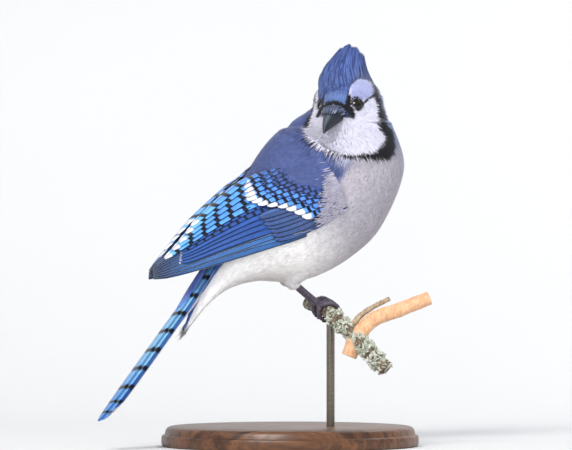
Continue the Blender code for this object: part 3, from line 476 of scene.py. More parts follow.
def reach(angle, front, back, side, bulge):
    """How far an egg-shaped section reaches at an angle from its front."""
    ahead = np.cos(angle) > 0
    deep = np.where(ahead, front, back)
    power = np.where(ahead, bulge, 2.0)
    spread = np.abs(np.cos(angle) / deep) ** power + np.abs(np.sin(angle) / side) ** power
    return spread ** (-1 / power)


def body_rings(sides, between):
    """Rings of the whole body from the undertail coverts to the crown, front first."""
    middles = [FORWARD * forward + UP * height for forward, height, *_ in TRUNK]
    sizes = [(belly, back, side, 2.0) for _, _, belly, back, side in TRUNK]
    middles += [np.array(section[:3]) for section in HEAD_STACK]
    sizes += [section[3:] for section in HEAD_STACK]
    angles = np.linspace(0, 2 * math.pi, sides, endpoint=False)
    rings = []
    for i, middle in enumerate(middles):
        axis = unit(middles[min(i + 1, len(middles) - 1)] - middles[max(i - 1, 0)])
        if i >= NECK_RING:
            axis = unit(axis + UP * 2 - FACE * 0.15)
        ahead = unit(np.cross(axis, RIGHT))
        beside = np.cross(ahead, axis)
        turn = math.atan2(FACE.dot(beside), FACE.dot(ahead)) if i >= NECK_RING else 0.0
        out = np.outer(np.cos(angles), ahead) + np.outer(np.sin(angles), beside)
        rings.append(middle + out * reach(angles - turn, *sizes[i])[:, None])
    return through(rings, np.linspace(0, len(rings) - 1, (len(rings) - 1) * between + 1))


class Form:
    """A round form held as rings of points, with a place on it given by ring and side."""

    def __init__(self, rings):
        self.rings = rings
        self.rows, self.sides = rings.shape[:2]
        self.along = np.gradient(rings, axis=0)
        self.around = (np.roll(rings, -1, 1) - np.roll(rings, 1, 1)) / 2
        normals = unit(np.cross(self.along, self.around))
        outward = rings - rings.mean(1, keepdims=True)
        self.normals = normals * np.sign(dot(normals, outward).sum())

    def blend(self, grid, u, v):
        """A grid's value between its rings and sides."""
        u = np.clip(u, 0, self.rows - 1.001)
        i, j = np.floor(u).astype(int), np.floor(v).astype(int)
        s, t = (u - i)[:, None], (v - j)[:, None]
        j, k = j % self.sides, (j + 1) % self.sides
        low = grid[i, j] * (1 - t) + grid[i, k] * t
        high = grid[i + 1, j] * (1 - t) + grid[i + 1, k] * t
        return low * (1 - s) + high * s

    def at(self, u, v):
        """Points and the ways out at places on the form."""
        return self.blend(self.rings, u, v), unit(self.blend(self.normals, u, v))

    def step(self, u, v, way, length):
        """How far a walk over the form along a direction moves in rings and in sides."""
        along, around = self.blend(self.along, u, v), self.blend(self.around, u, v)
        aa, ab, bb = dot(along, along), dot(along, around), dot(around, around)
        pa, pb = dot(way, along), dot(way, around)
        det = np.maximum(aa * bb - ab * ab, 1e-6)
        return (bb * pa - ab * pb) / det * length, (aa * pb - ab * pa) / det * length

    def scatter(self, density):
        """Roots spread evenly, with density giving how many stand on a square millimetre."""
        quad = np.cross(self.along[:-1], self.around[:-1])
        area = np.linalg.norm(quad, axis=-1)
        wanted = area * density[:-1]
        counts = np.floor(wanted + rng.random(wanted.shape)).astype(int).ravel()
        cells = np.repeat(np.arange(counts.size), counts)
        u = cells // self.sides + rng.random(cells.size)
        v = cells % self.sides + rng.random(cells.size)
        return u, v

    def patches(self, u, v):
        """Each tuft's own place in the map that its colours are baked to."""
        return np.stack([v / self.sides, u / self.rows], 1) * 0.97 + 0.012


def eye_place(side):
    """Centre of an eye and the way it looks; side is 1 on the bird's left."""
    centre = BETWEEN_EYES + HEAD_LEFT * (side * EYE_OUT + EYE_ASIDE)
    look = HEAD_LEFT * side * math.cos(EYE_AHEAD) + FACE * math.sin(EYE_AHEAD) + HEAD_UP * EYE_RAISED
    return centre, unit(look)


def to_world(spots):
    """Points given as forward, right and height, in the world's frame."""
    return spots[..., 0:1] * FORWARD + spots[..., 1:2] * RIGHT + spots[..., 2:3] * UP


WING_TABLE = np.array([(*a, *b, c) for a, b, c in zip(WING_INNER, WING_EDGE, WING_BULGE)], float)


def wing_point(s, w, lift=0.0):
    """Points of the right wing's surface: s from shoulder to tip, w from back to lower edge."""
    s, w, lift = np.broadcast_arrays(*(np.asarray(x, float) for x in (s, w, lift)))
    place = s * (len(WING_TABLE) - 1)
    row, step = through(WING_TABLE, place), through(WING_TABLE, place + 0.05)
    w, lift = w[..., None], lift[..., None]
    inner, edge = row[..., :3], row[..., 3:6]
    ahead = step[..., :3] * (1 - w) + step[..., 3:6] * w - inner * (1 - w) - edge * w
    out = unit(np.cross(edge - inner, ahead))
    out = out * np.where(out[..., 1:2] < 0, -1, 1)
    return to_world(inner * (1 - w) + edge * w + out * (row[..., 6:7] * 4 * w * (1 - w) + lift))


def wing_normal(s, w):
    """The way out of the right wing's surface."""
    along = wing_point(s + 0.02, w) - wing_point(s - 0.02, w)
    across = wing_point(s, w + 0.04) - wing_point(s, w - 0.04)
    out = unit(np.cross(across, along))
    return out * np.where(out @ RIGHT > 0, 1, -1)[..., None]


def mirrored(points):
    """Points in the upright mirror along the bird's length."""
    return points - 2 * dot(points, RIGHT)[..., None] * RIGHT


def head_place(points):
    """How far points lie ahead of, left of and over the middle between the eyes."""
    away = points - BETWEEN_EYES
    return away @ FACE, away @ HEAD_LEFT, away @ HEAD_UP


# Feathers that are vanes of their own


def vane_outline(t, root, tip, pointed=0.0):
    """A feather's half width along its length, as a share of its widest."""
    grown = root + (1 - root) * np.sin(np.clip(t / 0.5, 0, 1) * math.pi / 2)
    past = np.clip((t - 0.74) / 0.26, 0, 1)
    rounded = tip + (1 - tip) * np.sqrt(np.maximum(0, 1 - past**2))
    return grown * rounded * (1 - pointed * np.clip((t - 0.4) / 0.6, 0, 1))


def vane_batch(
    name, material, lines, normals, low, high, tilt=0.0, camber=0.1, bars=10.0, first=0.0, flip=False,
):
    """A row of feathers as thin closed blades, each with a shaft down its middle.

    lines and normals hold a row of points for each feather, and low and high how far its two
    edges stand from the shaft. The materials read along, left, edge, across, bar and tone.
    """
    count, rows = lines.shape[:2]
    along = unit(np.gradient(lines, axis=1))
    side = unit(np.cross(normals, along))
    side = turned(side, along, np.broadcast_to(tilt, (count,))[:, None, None])
    up = np.cross(along, side)
    columns = VANE_COLUMNS
    half = np.where(columns < 0, low[..., None], high[..., None])
    arch = camber * (1 - columns**2) * (low + high)[..., None] / 2
    shaft = SHAFT_RISE * (np.abs(columns) < 0.2)
    flat = lines[:, :, None] + side[:, :, None] * (columns * half)[..., None]
    body_lift = (arch + shaft + VANE_THICK / 2 * (1 - 0.7 * np.abs(columns)))[..., None]
    under_lift = (arch - VANE_THICK / 2 * (1 - 0.7 * np.abs(columns)))[..., None]
    upper = flat + up[:, :, None] * body_lift
    under = flat + up[:, :, None] * under_lift
    points = np.concatenate([upper, under[:, :, -2:0:-1]], axis=2)
    ring = points.shape[2]
    lengths = np.linalg.norm(np.diff(lines, axis=1), axis=-1)
    run = np.concatenate([np.zeros((count, 1)), np.cumsum(lengths, axis=1)], axis=1)
    across = np.concatenate([columns, columns[-2:0:-1]])
    edge = (1 - np.abs(across)) * np.where(across < 0, low[..., None], high[..., None])
    spread = np.broadcast_to
    shape = points.shape[:3]
    values = {
        "along": spread(run[..., None], shape),
        "left": spread((run[:, -1:] - run)[..., None], shape),
        "edge": edge,
        "across": spread(across, shape),
        "bar": spread(((run - first) / bars + rng.uniform(-0.12, 0.12, (count, 1)))[..., None], shape),
        "tone": spread(rng.random((count, 1, 1)), shape),
    }
    i, j = np.meshgrid(np.arange(rows - 1), np.arange(ring), indexing="ij")
    a, b = (i * ring + j).ravel(), (i * ring + (j + 1) % ring).ravel()
    fan = np.arange(1, ring - 1)
    top = (rows - 1) * ring
    one = np.concatenate([
        np.stack([a, b + ring, b], 1), np.stack([a, a + ring, b + ring], 1),
        np.stack([np.zeros_like(fan), fan, fan + 1], 1),
        np.stack([np.full_like(fan, top), top + fan + 1, top + fan], 1),
    ])
    triangles = (one[None] + (np.arange(count) * rows * ring)[:, None, None]).reshape(-1, 3)
    points = points.reshape(-1, 3)
    if flip:
        points, triangles = mirrored(points), triangles[:, ::-1]
    made = triangle_mesh(name, points, triangles, material)
    face_out(made)
    for key, value in values.items():
        give_values(made, key, value)
    return made


def covert_ends(across, back):
    """How far along the wing coverts end that lie back from the white bar's edge."""
    return bend(WHITE_BAR, across) - back


def wing_tier(roots, tips, half, lifts, outline):
    """Lines, normals and half widths of feathers that run over the wing from roots to tips."""
    t = np.linspace(0, 1, 15)
    s = roots[:, :1] + (tips[:, :1] - roots[:, :1]) * t
    w = roots[:, 1:] + (tips[:, 1:] - roots[:, 1:]) * t
    sink = 2.2 * (1 - np.minimum(t / 0.25, 1)) ** 2
    lift = np.asarray(lifts)[:, None] - sink
    lines = wing_point(s, w, lift)
    normals = wing_normal(s, w)
    width = half * vane_outline(t, *outline) * rng.uniform(0.94, 1.06, (len(roots), 1))
    # Shapes nothing: it keeps the later random draws in their places.
    rng.random((len(roots), len(t)))
    return lines, normals, width, width


def steps(count, first, step):
    """Places that start at first and go on by step, each a little off."""
    places = np.array(first) + np.arange(count)[:, None] * np.array(step)
    return places + rng.uniform(-STEP_WANDER, STEP_WANDER, places.shape)


def wing_pieces(word, flip, looks):
    """The folded wing, tier on tier, from the primaries up to the small coverts."""
    def tier(part_name, material, roots, tips, half, lifts, tilt, outline, **marks):
        shape = wing_tier(roots, tips, half, lifts, outline)
        made.append(vane_batch(
            f"wing_{word}_{part_name}", looks[material], *shape, tilt=math.radians(tilt), flip=flip, **marks
        ))

    made = []
    tier(
        "primaries", "primary", steps(9, (0.21, 0.975), (0.011, -0.062)),
        steps(9, (0.965, 0.975), (-0.004, -0.105)), 3.5, -3.0 + 0.24 * np.arange(9), 9, (0.5, 0.22, 0.25),
    )
    plain = np.arange(8)[:, None] < 4
    tier(
        "secondaries", "secondary", steps(8, (0.27, 0.86), (0.006, -0.068)),
        steps(8, (0.815, 0.74), (-0.012, -0.07)), 3.7, -1.6 + 0.1 * np.arange(8), 12, (0.5, 0.35),
        bars=np.where(plain, 1e4, 5.6), first=np.where(plain, -5600.0, 1.0),
    )
    tier(
        "tertials", "tertial", steps(5, (0.30, 0.47), (-0.018, -0.095)),
        steps(5, (0.845, 0.25), (-0.062, -0.045)), 5.6, -0.7 + 0.5 * np.arange(5), 5, (0.5, 0.4),
        bars=9.6, first=3.0,
    )
    tier(
        "primary_coverts", "primary_covert", steps(7, (0.03, 0.965), (0.012, -0.036)),
        steps(7, (0.375, 0.97), (0.0, -0.05)), 2.9, -1.5 + 0.12 * np.arange(7), 12, (0.5, 0.3),
    )
    for row, across, back, long, inward, half, lifts, tilt, outline, bars, first in (
        (
            "greater", (0.84, 0.1, 12), 0.0, 0.19, 0.05, 4.3, -0.1 + 0.03 * np.arange(12), 14, (0.55, 0.42),
            5.4, 2.0,
        ),
        ("median", (0.93, 0.16, 13), 0.082, 0.15, 0.05, 3.3, np.full(13, 0.7), 13, (0.6, 0.45), 5.0, 1.6),
        ("lesser", (0.95, 0.3, 13), 0.14, 0.10, 0.04, 2.7, np.full(13, 1.0), 13, (0.6, 0.4), 4.6, 1.4),
    ):
        across = np.linspace(*across)
        tips = np.stack([covert_ends(across, back), across], 1)
        roots = np.stack([tips[:, 0] - long, across + inward], 1)
        tier(f"{row}_coverts", row, roots, tips, half, lifts, tilt, outline, bars=bars, first=first)
    tier(
        "alula", "alula", steps(3, (0.02, 0.99), (0.01, -0.03)), steps(3, (0.205, 0.985), (0.055, -0.02)),
        2.3, -0.9 - 0.25 * np.arange(3), 12, (0.55, 0.25),
    )
    for piece in made:
        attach(piece, "root")
        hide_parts(f"wing_{word}")


def tail_frame():
    """The directions along the tail, over it and across it."""
    level = math.cos(TAIL_PITCH)
    along = np.array((-level * math.cos(TAIL_YAW), -level * math.sin(TAIL_YAW), -math.sin(TAIL_PITCH)))
    over = unit(np.cross(along, RIGHT))
    over = over if over[2] > 0 else -over
    over = turned(over, along, TAIL_ROLL)
    return along, over, unit(np.cross(over, along))


def make_tail(looks):
    """Twelve tail feathers, the middle pair on top, and the coverts over and under their roots."""
    along, over, side = tail_frame()
    t = np.linspace(0, 1, 44)
    for group, orders, material in (
        ("tail_inner", (0, 1), "tail"),
        ("tail_outer", (2, 3, 4), "tail_outer"),
        ("tail_edge", (5,), "tail_edge"),
    ):
        lines, lows, highs, runs = [], [], [], []
        for order in orders:
            for way in (-1, 1):
                length = TAIL_LENGTH - TAIL_SHORTENING[order]
                out = TAIL_OUT[order] * (0.3 + 0.7 * t)
                layer = order + (1 if order or way > 0 else 0)
                sink = TAIL_LAYER * layer * (0.6 + 0.4 * np.minimum(t / 0.3, 1))
                run = 6 + (length - 6) * t
                line = TAIL_ROOT + np.outer(run, along) + np.outer(way * out, side) - np.outer(sink, over)
                full = (TAIL_HALF if order else TAIL_TOP_HALF) * vane_outline(t, 0.6, 0.3)
                full = full * (1 + 0.02 * (rng.random(len(t)) - 0.5))
                inner = np.minimum(full, out - 0.15) if order else full
                lines.append(line)
                runs.append(run)
                lows.append(inner if way > 0 else full)
                highs.append(full if way > 0 else inner)
        lines = np.array(lines)
        normals = np.broadcast_to(over, lines.shape)
        lows, highs = np.array(lows), np.array(highs)
        made = vane_batch(group, looks[material], lines, normals, lows, highs, camber=0.04)
        phases = np.interp(np.array(runs), TAIL_BARS, np.arange(len(TAIL_BARS)))
        ring = len(made.data.vertices) // phases.size
        give_values(made, "bar", np.repeat(phases.ravel(), ring))
        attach(made, "root")
        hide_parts("tail")
    tail_coverts(looks, along, over, side)


def tail_coverts(looks, along, over, side):
    """Soft feathers over and under the roots of the tail."""
    for name, look, count, rise, reach_out in (
        ("upper_tail_coverts", "rump", 34, 1, (24, 50)), ("undertail_coverts", "undertail", 40, -1, (24, 66)),
    ):
        t = np.linspace(0, 1, 10)
        ends = (np.linspace(*reach_out, count) + rng.uniform(-3, 3, count))[::-1]
        nearer = 1 - (ends - reach_out[0]) / (reach_out[1] - reach_out[0])
        off = rng.uniform(-1, 1, count) * (3.4 + 2.6 * nearer)
        starts = ends - rng.uniform(20, 24, count)
        run = starts[:, None] + (ends - starts)[:, None] * t
        if rise > 0:
            high = 2.6 + 0.05 * (50 - ends)[:, None] - 2.2 * t - 0.05 * off[:, None] ** 2
        else:
            high = -6.2 - 0.03 * (66 - ends)[:, None] + 1.4 * t + 0.06 * off[:, None] ** 2
        spread = off[:, None] * (0.55 + 0.45 * t)
        lines = TAIL_ROOT + run[..., None] * along + spread[..., None] * side + high[..., None] * over
        normals = np.broadcast_to(unit(over * rise + side * (off * 0.06)[:, None, None]), lines.shape)
        width = 2.9 * vane_outline(t, 0.6, 0.3, 0.3) * np.ones((count, 1))
        made = vane_batch(name, looks[look], lines, normals, width, width, camber=0.14)
        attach(made, "root")


def make_crest(looks):
    """The crest: slim feathers that rise from the crown and lean in to a ragged top."""
    axis = CREST_TIP - CREST_FOOT
    front = unit(FACE - axis * FACE.dot(axis) / axis.dot(axis))
    across = np.cross(unit(axis), front)
    crest_right = np.sign(across[0])

    def crest_place(spots):
        along = (spots - CREST_FOOT) @ axis / axis.dot(axis)
        off = spots - CREST_FOOT - along[..., None] * axis
        return along, np.linalg.norm(off, axis=-1), np.arctan2(off @ across, off @ front)

    t = np.linspace(0, 1, len(CREST_BLADE))
    thick = CREST_DENSITY
    ring = np.arange(body.rows) / FORM_BETWEEN
    u, v = body.scatter(np.repeat(np.where(ring > HEAD_RING, thick, 0.0)[:, None], body.sides, 1))
    roots, root_out = body.at(u, v)
    keep = (jay_marks(roots, *form_place(u, v))["crown"] > 0.5) & (crest_place(roots)[0] > -0.12)
    u, v, roots, root_out = u[keep], v[keep], roots[keep], root_out[keep]
    start, root_away, angle = crest_place(roots)
    count = len(roots)
    end = start + rng.uniform(0.3, 0.75, count)
    inner = start > CREST_START - 0.06
    end = np.where(inner, end + 0.25, end)
    end = np.minimum(end, bend(CREST_TOP, np.sin(angle) * crest_right) - 0.05 * rng.random(count) ** 2)
    along = start[:, None] + (end - start)[:, None] * t
    skin_along, skin_away, _ = crest_place(body.rings[int(HEAD_RING * FORM_BETWEEN):])
    columns = np.floor(v).astype(int) % body.sides
    skin = np.array([
        np.interp(places, skin_along[:, column], skin_away[:, column], right=0.0)
        for places, column in zip(along, columns)
    ])
    inside = np.sqrt(rng.random(count))
    inside = np.where(inner, inside, rng.uniform(0.84, 1.0, count))
    envelope = bend(CREST_PROFILE, along) * inside[:, None]
    away = root_away[:, None] + (envelope - root_away[:, None]) * smooth(0.0, 0.6, t)
    away = np.maximum(away, skin + 0.7 * np.sin(math.pi * np.minimum(t, 0.5)))
    away = away + 0.9 * rng.uniform(-0.4, 1, (count, 1)) * t**2 - 1.0 * (t < 0.05)
    out = np.cos(angle)[:, None] * front + np.sin(angle)[:, None] * across
    lines = CREST_FOOT + along[..., None] * axis + away[..., None] * out[:, None]
    share = smooth(0.0, 0.5, t)[None, :, None]
    bow = CREST_BOW * np.sin(math.pi * np.clip(along + 0.1, 0, 1))
    lines[..., 0] -= bow * share[..., 0]
    normals = unit(root_out[:, None] * (1 - share) + out[:, None] * share)
    lean = unit(lines[:, -1] - lines[:, 0])
    arms = turned(unit(np.cross(normals[:, 2], lean)), lean, rng.uniform(-0.25, 0.25, (count, 1)))
    marks = bare_marks(count)
    marks["crown"] = np.ones(count)
    patch = body.patches(u, v)
    made = tuft_blades(
        "crest", lines.swapaxes(0, 1), normals.swapaxes(0, 1), arms, rng.uniform(0.28, 0.5, count),
        looks["coat"], marks, patch, CREST_BLADE,
    )


# The skin and its coat


def unfolded(rings):
    """Bridges the fold under the turned head, so that the coat runs on from the neck to the shoulders."""
    first, last = (int(round(ring * FORM_BETWEEN)) for ring in FOLD)
    low, high = rings[first], rings[last]
    depth = low[:, 2] - rings[first:last, :, 2].min(0)
    share = smooth(0.5, 3.0, depth)[None, :, None]
    gap = np.linalg.norm(high - low, axis=1, keepdims=True) * FOLD_ARCH
    leave, arrive = unit(low - rings[first - 4]) * gap, unit(rings[last + 4] - high) * gap
    t = np.linspace(0, 1, last - first + 1)[:, None, None]
    bridge = (2 * t**3 - 3 * t**2 + 1) * low + (t**3 - 2 * t**2 + t) * leave
    bridge = bridge + (3 * t**2 - 2 * t**3) * high + (t**3 - t**2) * arrive
    rings = rings.copy()
    rings[first:last + 1] = rings[first:last + 1] * (1 - share) + bridge * share
    return rings


def swollen_rings():
    """The body's rings with the fold bridged and the plumage's swellings on."""
    rings = unfolded(body_rings(FORM_SIDES, FORM_BETWEEN))
    out = unit(rings - rings.mean(1, keepdims=True))
    for centre, size, height in SWELLS:
        near = np.exp(-(np.linalg.norm(rings - np.array(centre), axis=-1) / size) ** 2)
        rings = rings + out * (near * height)[..., None]
    return rings


body = Form(swollen_rings())


def thigh_rings(side):
    """The feathered thigh as rings from its hip to just over the heel."""
    knee, heel, ankle = leg_joints(side)
    shank = unit(ankle - heel)
    path = np.array([knee, knee * 0.6 + heel * 0.4, heel, heel + shank * THIGH_PAST_HEEL])
    places = np.linspace(0, 3, 37)
    return tube_rings(through(path, places), through(THIGH_RADII, places), 60)


def leg_joints(side):
    """Knee, heel and ankle of a leg; side is 1 for the right leg and -1 for the left."""
    foot = perch_at(0 if side > 0 else -FOOT_SPACING)[0]
    ankle = foot + ANKLE_OFF + RIGHT * 0.5
    heel = ankle - FORWARD * HEEL_BACK + UP * HEEL_UP + RIGHT * side
    knee = heel + FORWARD * KNEE_AHEAD + UP * KNEE_UP + RIGHT * side * KNEE_OUT
    return knee, heel, ankle


def perch_at(distance):
    """Middle and direction of the perch at a distance in front of the right foot's middle."""
    dense = through(PERCH, np.linspace(0, len(PERCH) - 1, 121))
    run = np.concatenate([[0], np.cumsum(np.linalg.norm(np.diff(dense, axis=0), axis=1))])
    start = np.argmin(np.linalg.norm(dense - np.array(PERCH[2]), axis=1))
    goal = run[start] + distance
    i = min(int(np.searchsorted(run, goal, side="right")) - 1, len(dense) - 2)
    t = (goal - run[i]) / (run[i + 1] - run[i])
    return dense[i] * (1 - t) + dense[i + 1] * t, unit(dense[i + 1] - dense[i])


class WingCover:
    """Tells where on a wing a point lies, for the skin and coat under it."""

    def __init__(self):
        s, w = np.meshgrid(np.linspace(-0.05, 1, 150), np.linspace(-0.05, 1.08, 90), indexing="ij")
        self.s, self.w = s.ravel(), w.ravel()
        self.points = wing_point(self.s, self.w)
        self.normals = wing_normal(self.s, self.w)
        self.tree = KDTree(len(self.points))
        for i, point in enumerate(self.points):
            self.tree.insert(point, i)
        self.tree.balance()

    def find(self, points):
        """Place along and across the wing, height over it, and the way out, on either side."""
        left = points @ RIGHT < 0
        own = np.where(left[:, None], mirrored(points), points)
        nearest = np.array([self.tree.find(point)[1] for point in own])
        out = self.normals[nearest]
        height = dot(own - self.points[nearest], out)
        away = np.linalg.norm(own - self.points[nearest] - out * height[:, None], axis=1)
        out = np.where(left[:, None], mirrored(out), out)
        return self.s[nearest], self.w[nearest], height, away, out

    def covers(self, s, w, height, away):
        """Whether places found on the wing are under it and not under the mantle."""
        top = np.maximum(0.0, MANTLE_COVER - MANTLE_SLOPE * s)
        return (w > top) & (w < 1.04) & (away < 2.0) & (np.abs(height) < 14)


wings = WingCover()


def path_gap(points, path):
    """How far points are from the edge of a line that has its own half width at each corner."""
    path = np.asarray(path, float)
    gap = np.full(len(points), 1e3)
    for a, b in zip(path, path[1:]):
        way = b[:3] - a[:3]
        t = np.clip((points - a[:3]) @ way / (way @ way), 0, 1)
        away = np.linalg.norm(points - a[:3] - t[:, None] * way, axis=1)
        gap = np.minimum(gap, away - (a[3] + (b[3] - a[3]) * t))
    return gap


def bend(table, x):
    """A value read off a table of (place, value)."""
    places, values = np.array(table, float).T[:2]
    return np.interp(x, places, values)


def frayed(points):
    """An uneven wave from -1 to 1 over the body, which frays the edge between two colours."""
    return sum(np.sin(points @ np.array(wave)) for wave in FRAY_WAVES) / len(FRAY_WAVES)


def jay_marks(points, ring, angle):
    """The jay's markings at points of the form, each 0 to 1, from their places on the head and body."""
    f, l, h = head_place(points)
    bearing = np.degrees(np.arctan2(l, f))
    height = np.degrees(np.arctan2(h, np.hypot(f, l)))
    alike = np.stack([f, np.abs(l), h], -1)
    bill_gap = np.linalg.norm(points - BILL_BASE, axis=1)
    round_bill = np.degrees(np.arctan2(np.abs(l), h + 3.2))
    by_head = smooth(6.4, 6.8, ring) * smooth(54, 48, np.linalg.norm(points - BETWEEN_EYES, axis=1))

    lines = [path_gap(np.stack([f, l, h], -1), COLLAR)]
    lines += [path_gap(alike, path) for path in (EYE_LINE, LORE_LINE, LORE_SPUR)]
    eye_gap = np.min([np.linalg.norm(points - eye_place(side)[0], axis=1) for side in (1, -1)], axis=0)
    lines.append(np.abs(eye_gap - EYE_RING) - EYE_RING_HALF)
    wobble = 0.3 * np.sin(points @ np.array((2.1, 1.7, 2.6)))
    black = smooth(0.5, -0.4, np.minimum.reduce(lines) + wobble) * by_head

    face = smooth(-1.6, 1.6, height - bend(FACE_EDGE, bearing)) * smooth(-1, 1, l - bend(FACE_SIDE, f))
    face = np.maximum(face, smooth(-0.12, 0.12, ring - bend(FACE_RING, bearing))) * by_head
    on_head = smooth(9.4, 10.0, ring)
    crown = smooth(-2, 3, height - bend(CROWN_EDGE, bearing)) * on_head
    to_tip = CREST_TIP - CREST_FOOT
    top = smooth(CREST_START - 0.05, CREST_START, (points - CREST_FOOT) @ to_tip / to_tip.dot(to_tip))
    crown = np.maximum(crown, top)
    off_brow = ((bearing - BROW_BEARING) / BROW_WIDE) ** 2 + ((height - BROW_HEIGHT) / BROW_HIGH) ** 2
    brow = smooth(1.3, 0.6, off_brow) * on_head * (1 - top)
    bristle = smooth(-0.4, -1.4, bill_gap - bend(LORE_REACH, round_bill))
    bristle = bristle * smooth(104, 96, round_bill) * on_head
    forehead = crown * smooth(18, 10, bill_gap)

    side_angle = np.abs((np.degrees(angle) + 180) % 360 - 180)
    above = smooth(8.0, 9.4, ring + 0.5 * frayed(points))
    behind = smooth(-3, 3, np.abs(bearing) - 93) * above * (1 - face)
    mantle = np.maximum(smooth(-5, 5, side_angle - bend(MANTLE_EDGE, ring)) * (1 - face), behind)
    sky = behind * smooth(2.0, 8.0, l) * (1 - crown)
    breast = smooth(4.4, 6.4, ring) * (1 - face)
    rump = smooth(4.2, 2.0, ring) * mantle
    return {
        "black": black, "white": face, "crown": crown, "brow": brow, "bristle": bristle,
        "forehead": forehead, "mantle": mantle, "sky": sky, "breast": breast, "rump": rump,
    }


def bare_marks(count):
    """No markings, for feathers that are then given their own."""
    nothing = np.zeros(count)
    return {name: nothing for name in MARK_NAMES}


def form_place(u, v):
    """The ring and the angle of places on the form."""
    return u / FORM_BETWEEN, v / FORM_SIDES * 2 * math.pi


def make_skin(looks):
    """One skin for head, neck, body and thighs, under the coat and pressed in under the wings."""
    ring = np.arange(body.rows) / FORM_BETWEEN
    shell = body.rings - body.normals * bend(COAT_DEPTH, ring)[:, None, None]
    joined = ring_mesh("skin", shell, looks["coat"])
    for side in (1, -1):
        leg = ring_mesh("leg", shrunk(thigh_rings(side), 1.6), looks["coat"])
        join_mesh(joined, leg)
    remesh = joined.modifiers.new("one skin", "REMESH")
    remesh.mode = "VOXEL"
    remesh.voxel_size = SKIN_VOXEL * MM
    smoothing = joined.modifiers.new("soften", "SMOOTH")
    smoothing.iterations = 6
    graph = bpy.context.evaluated_depsgraph_get()
    mesh = bpy.data.meshes.new_from_object(joined.evaluated_get(graph))
    joined.modifiers.clear()
    joined.data = mesh
    points = np.empty(len(mesh.vertices) * 3, np.float32)
    mesh.vertices.foreach_get("co", points)
    points = points.reshape(-1, 3).astype(float) / MM
    s, w, height, away, out = wings.find(points)
    under = wings.covers(s, w, height, away)
    press = np.where(under, np.maximum(0, height + WING_ROOM), 0)
    points = points - out * press[:, None]
    mesh.vertices.foreach_set("co", (points * MM).astype(np.float32).ravel())
    mesh.update()
    mesh.shade_smooth()
    mesh.materials.clear()
    mesh.materials.append(looks["coat"])
    ring, angle = form_places(points)
    for key, value in jay_marks(points, ring, angle).items():
        give_values(joined, key, value)
    # Painted shade: with a low tone and tip 0, like a tuft's root, the skin is painted darker, as the shade
    # under the coat.
    give_values(joined, "tone", np.full(len(points), 0.3))
    give_values(joined, "tip", np.zeros(len(points)))
    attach(joined, "root")
    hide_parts("head", "neck", "torso", "thigh_left", "thigh_right")


def shrunk(rings, by):
    """Rings drawn in toward their middles."""
    middle = rings.mean(1, keepdims=True)
    out = rings - middle
    size = np.linalg.norm(out, axis=-1, keepdims=True)
    return middle + out * (1 - np.minimum(by, size * 0.5) / size)


def join_mesh(made, other):
    """Puts another object's mesh into the first and removes it."""
    edit = bmesh.new()
    edit.from_mesh(made.data)
    edit.from_mesh(other.data)
    edit.to_mesh(made.data)
    edit.free()
    bpy.data.objects.remove(other)


def form_places(points):
    """The ring and angle of the form nearest to each point."""
    step = 3
    grid = body.rings[::step, ::step]
    tree = KDTree(grid.shape[0] * grid.shape[1])
    for i, point in enumerate(grid.reshape(-1, 3)):
        tree.insert(point, i)
    tree.balance()
    nearest = np.array([tree.find(point)[1] for point in points])
    row, column = nearest // grid.shape[1], nearest % grid.shape[1]
    return form_place(row * step, column * step)


def lie_of_coat(points, normals, tailward, ring, marks):
    """The way the coat lies: off the bill on the head, up to the crest on the crown, else tailward."""
    off_bill = unit(points - BILL_BASE)
    to_crest = unit(CREST_TIP - points) * marks["crown"][:, None]
    way = off_bill * (1 - 0.7 * marks["crown"])[:, None] + to_crest * 1.2
    way = way - normals * dot(way, normals)[:, None]
    head = np.maximum(smooth(8.6, 10.2, ring), np.maximum(marks["white"], marks["sky"]))[:, None]
    way = unit(way) * head + tailward * (1 - head)
    way = way + rng.normal(0, 0.07, way.shape)
    return unit(way - normals * dot(way, normals)[:, None])


def tuft_mesh(name, form, u, v, way, length, half, base, stand, look, marks, patch):
    """Tufts from their roots on a form along the way they lie."""
    spots, outs = [], []
    across = unit(np.cross(form.at(u, v)[1], way))
    for t, high in ((0.0, -0.8 * base), (0.5, -0.16 * base + 0.45 * stand), (1.0, stand)):
        du, dv = form.step(u, v, way, length * t)
        spot, out = form.at(u + du, v + dv)
        past = np.clip((u + du) / np.minimum(du, -1e-6), 0, 1) * (du < 0)
        spot = spot + way * (length * t * past)[:, None]
        spots.append(spot + out * high[:, None])
        outs.append(out)
    return tuft_blades(name, spots, outs, across, half, look, marks, patch)


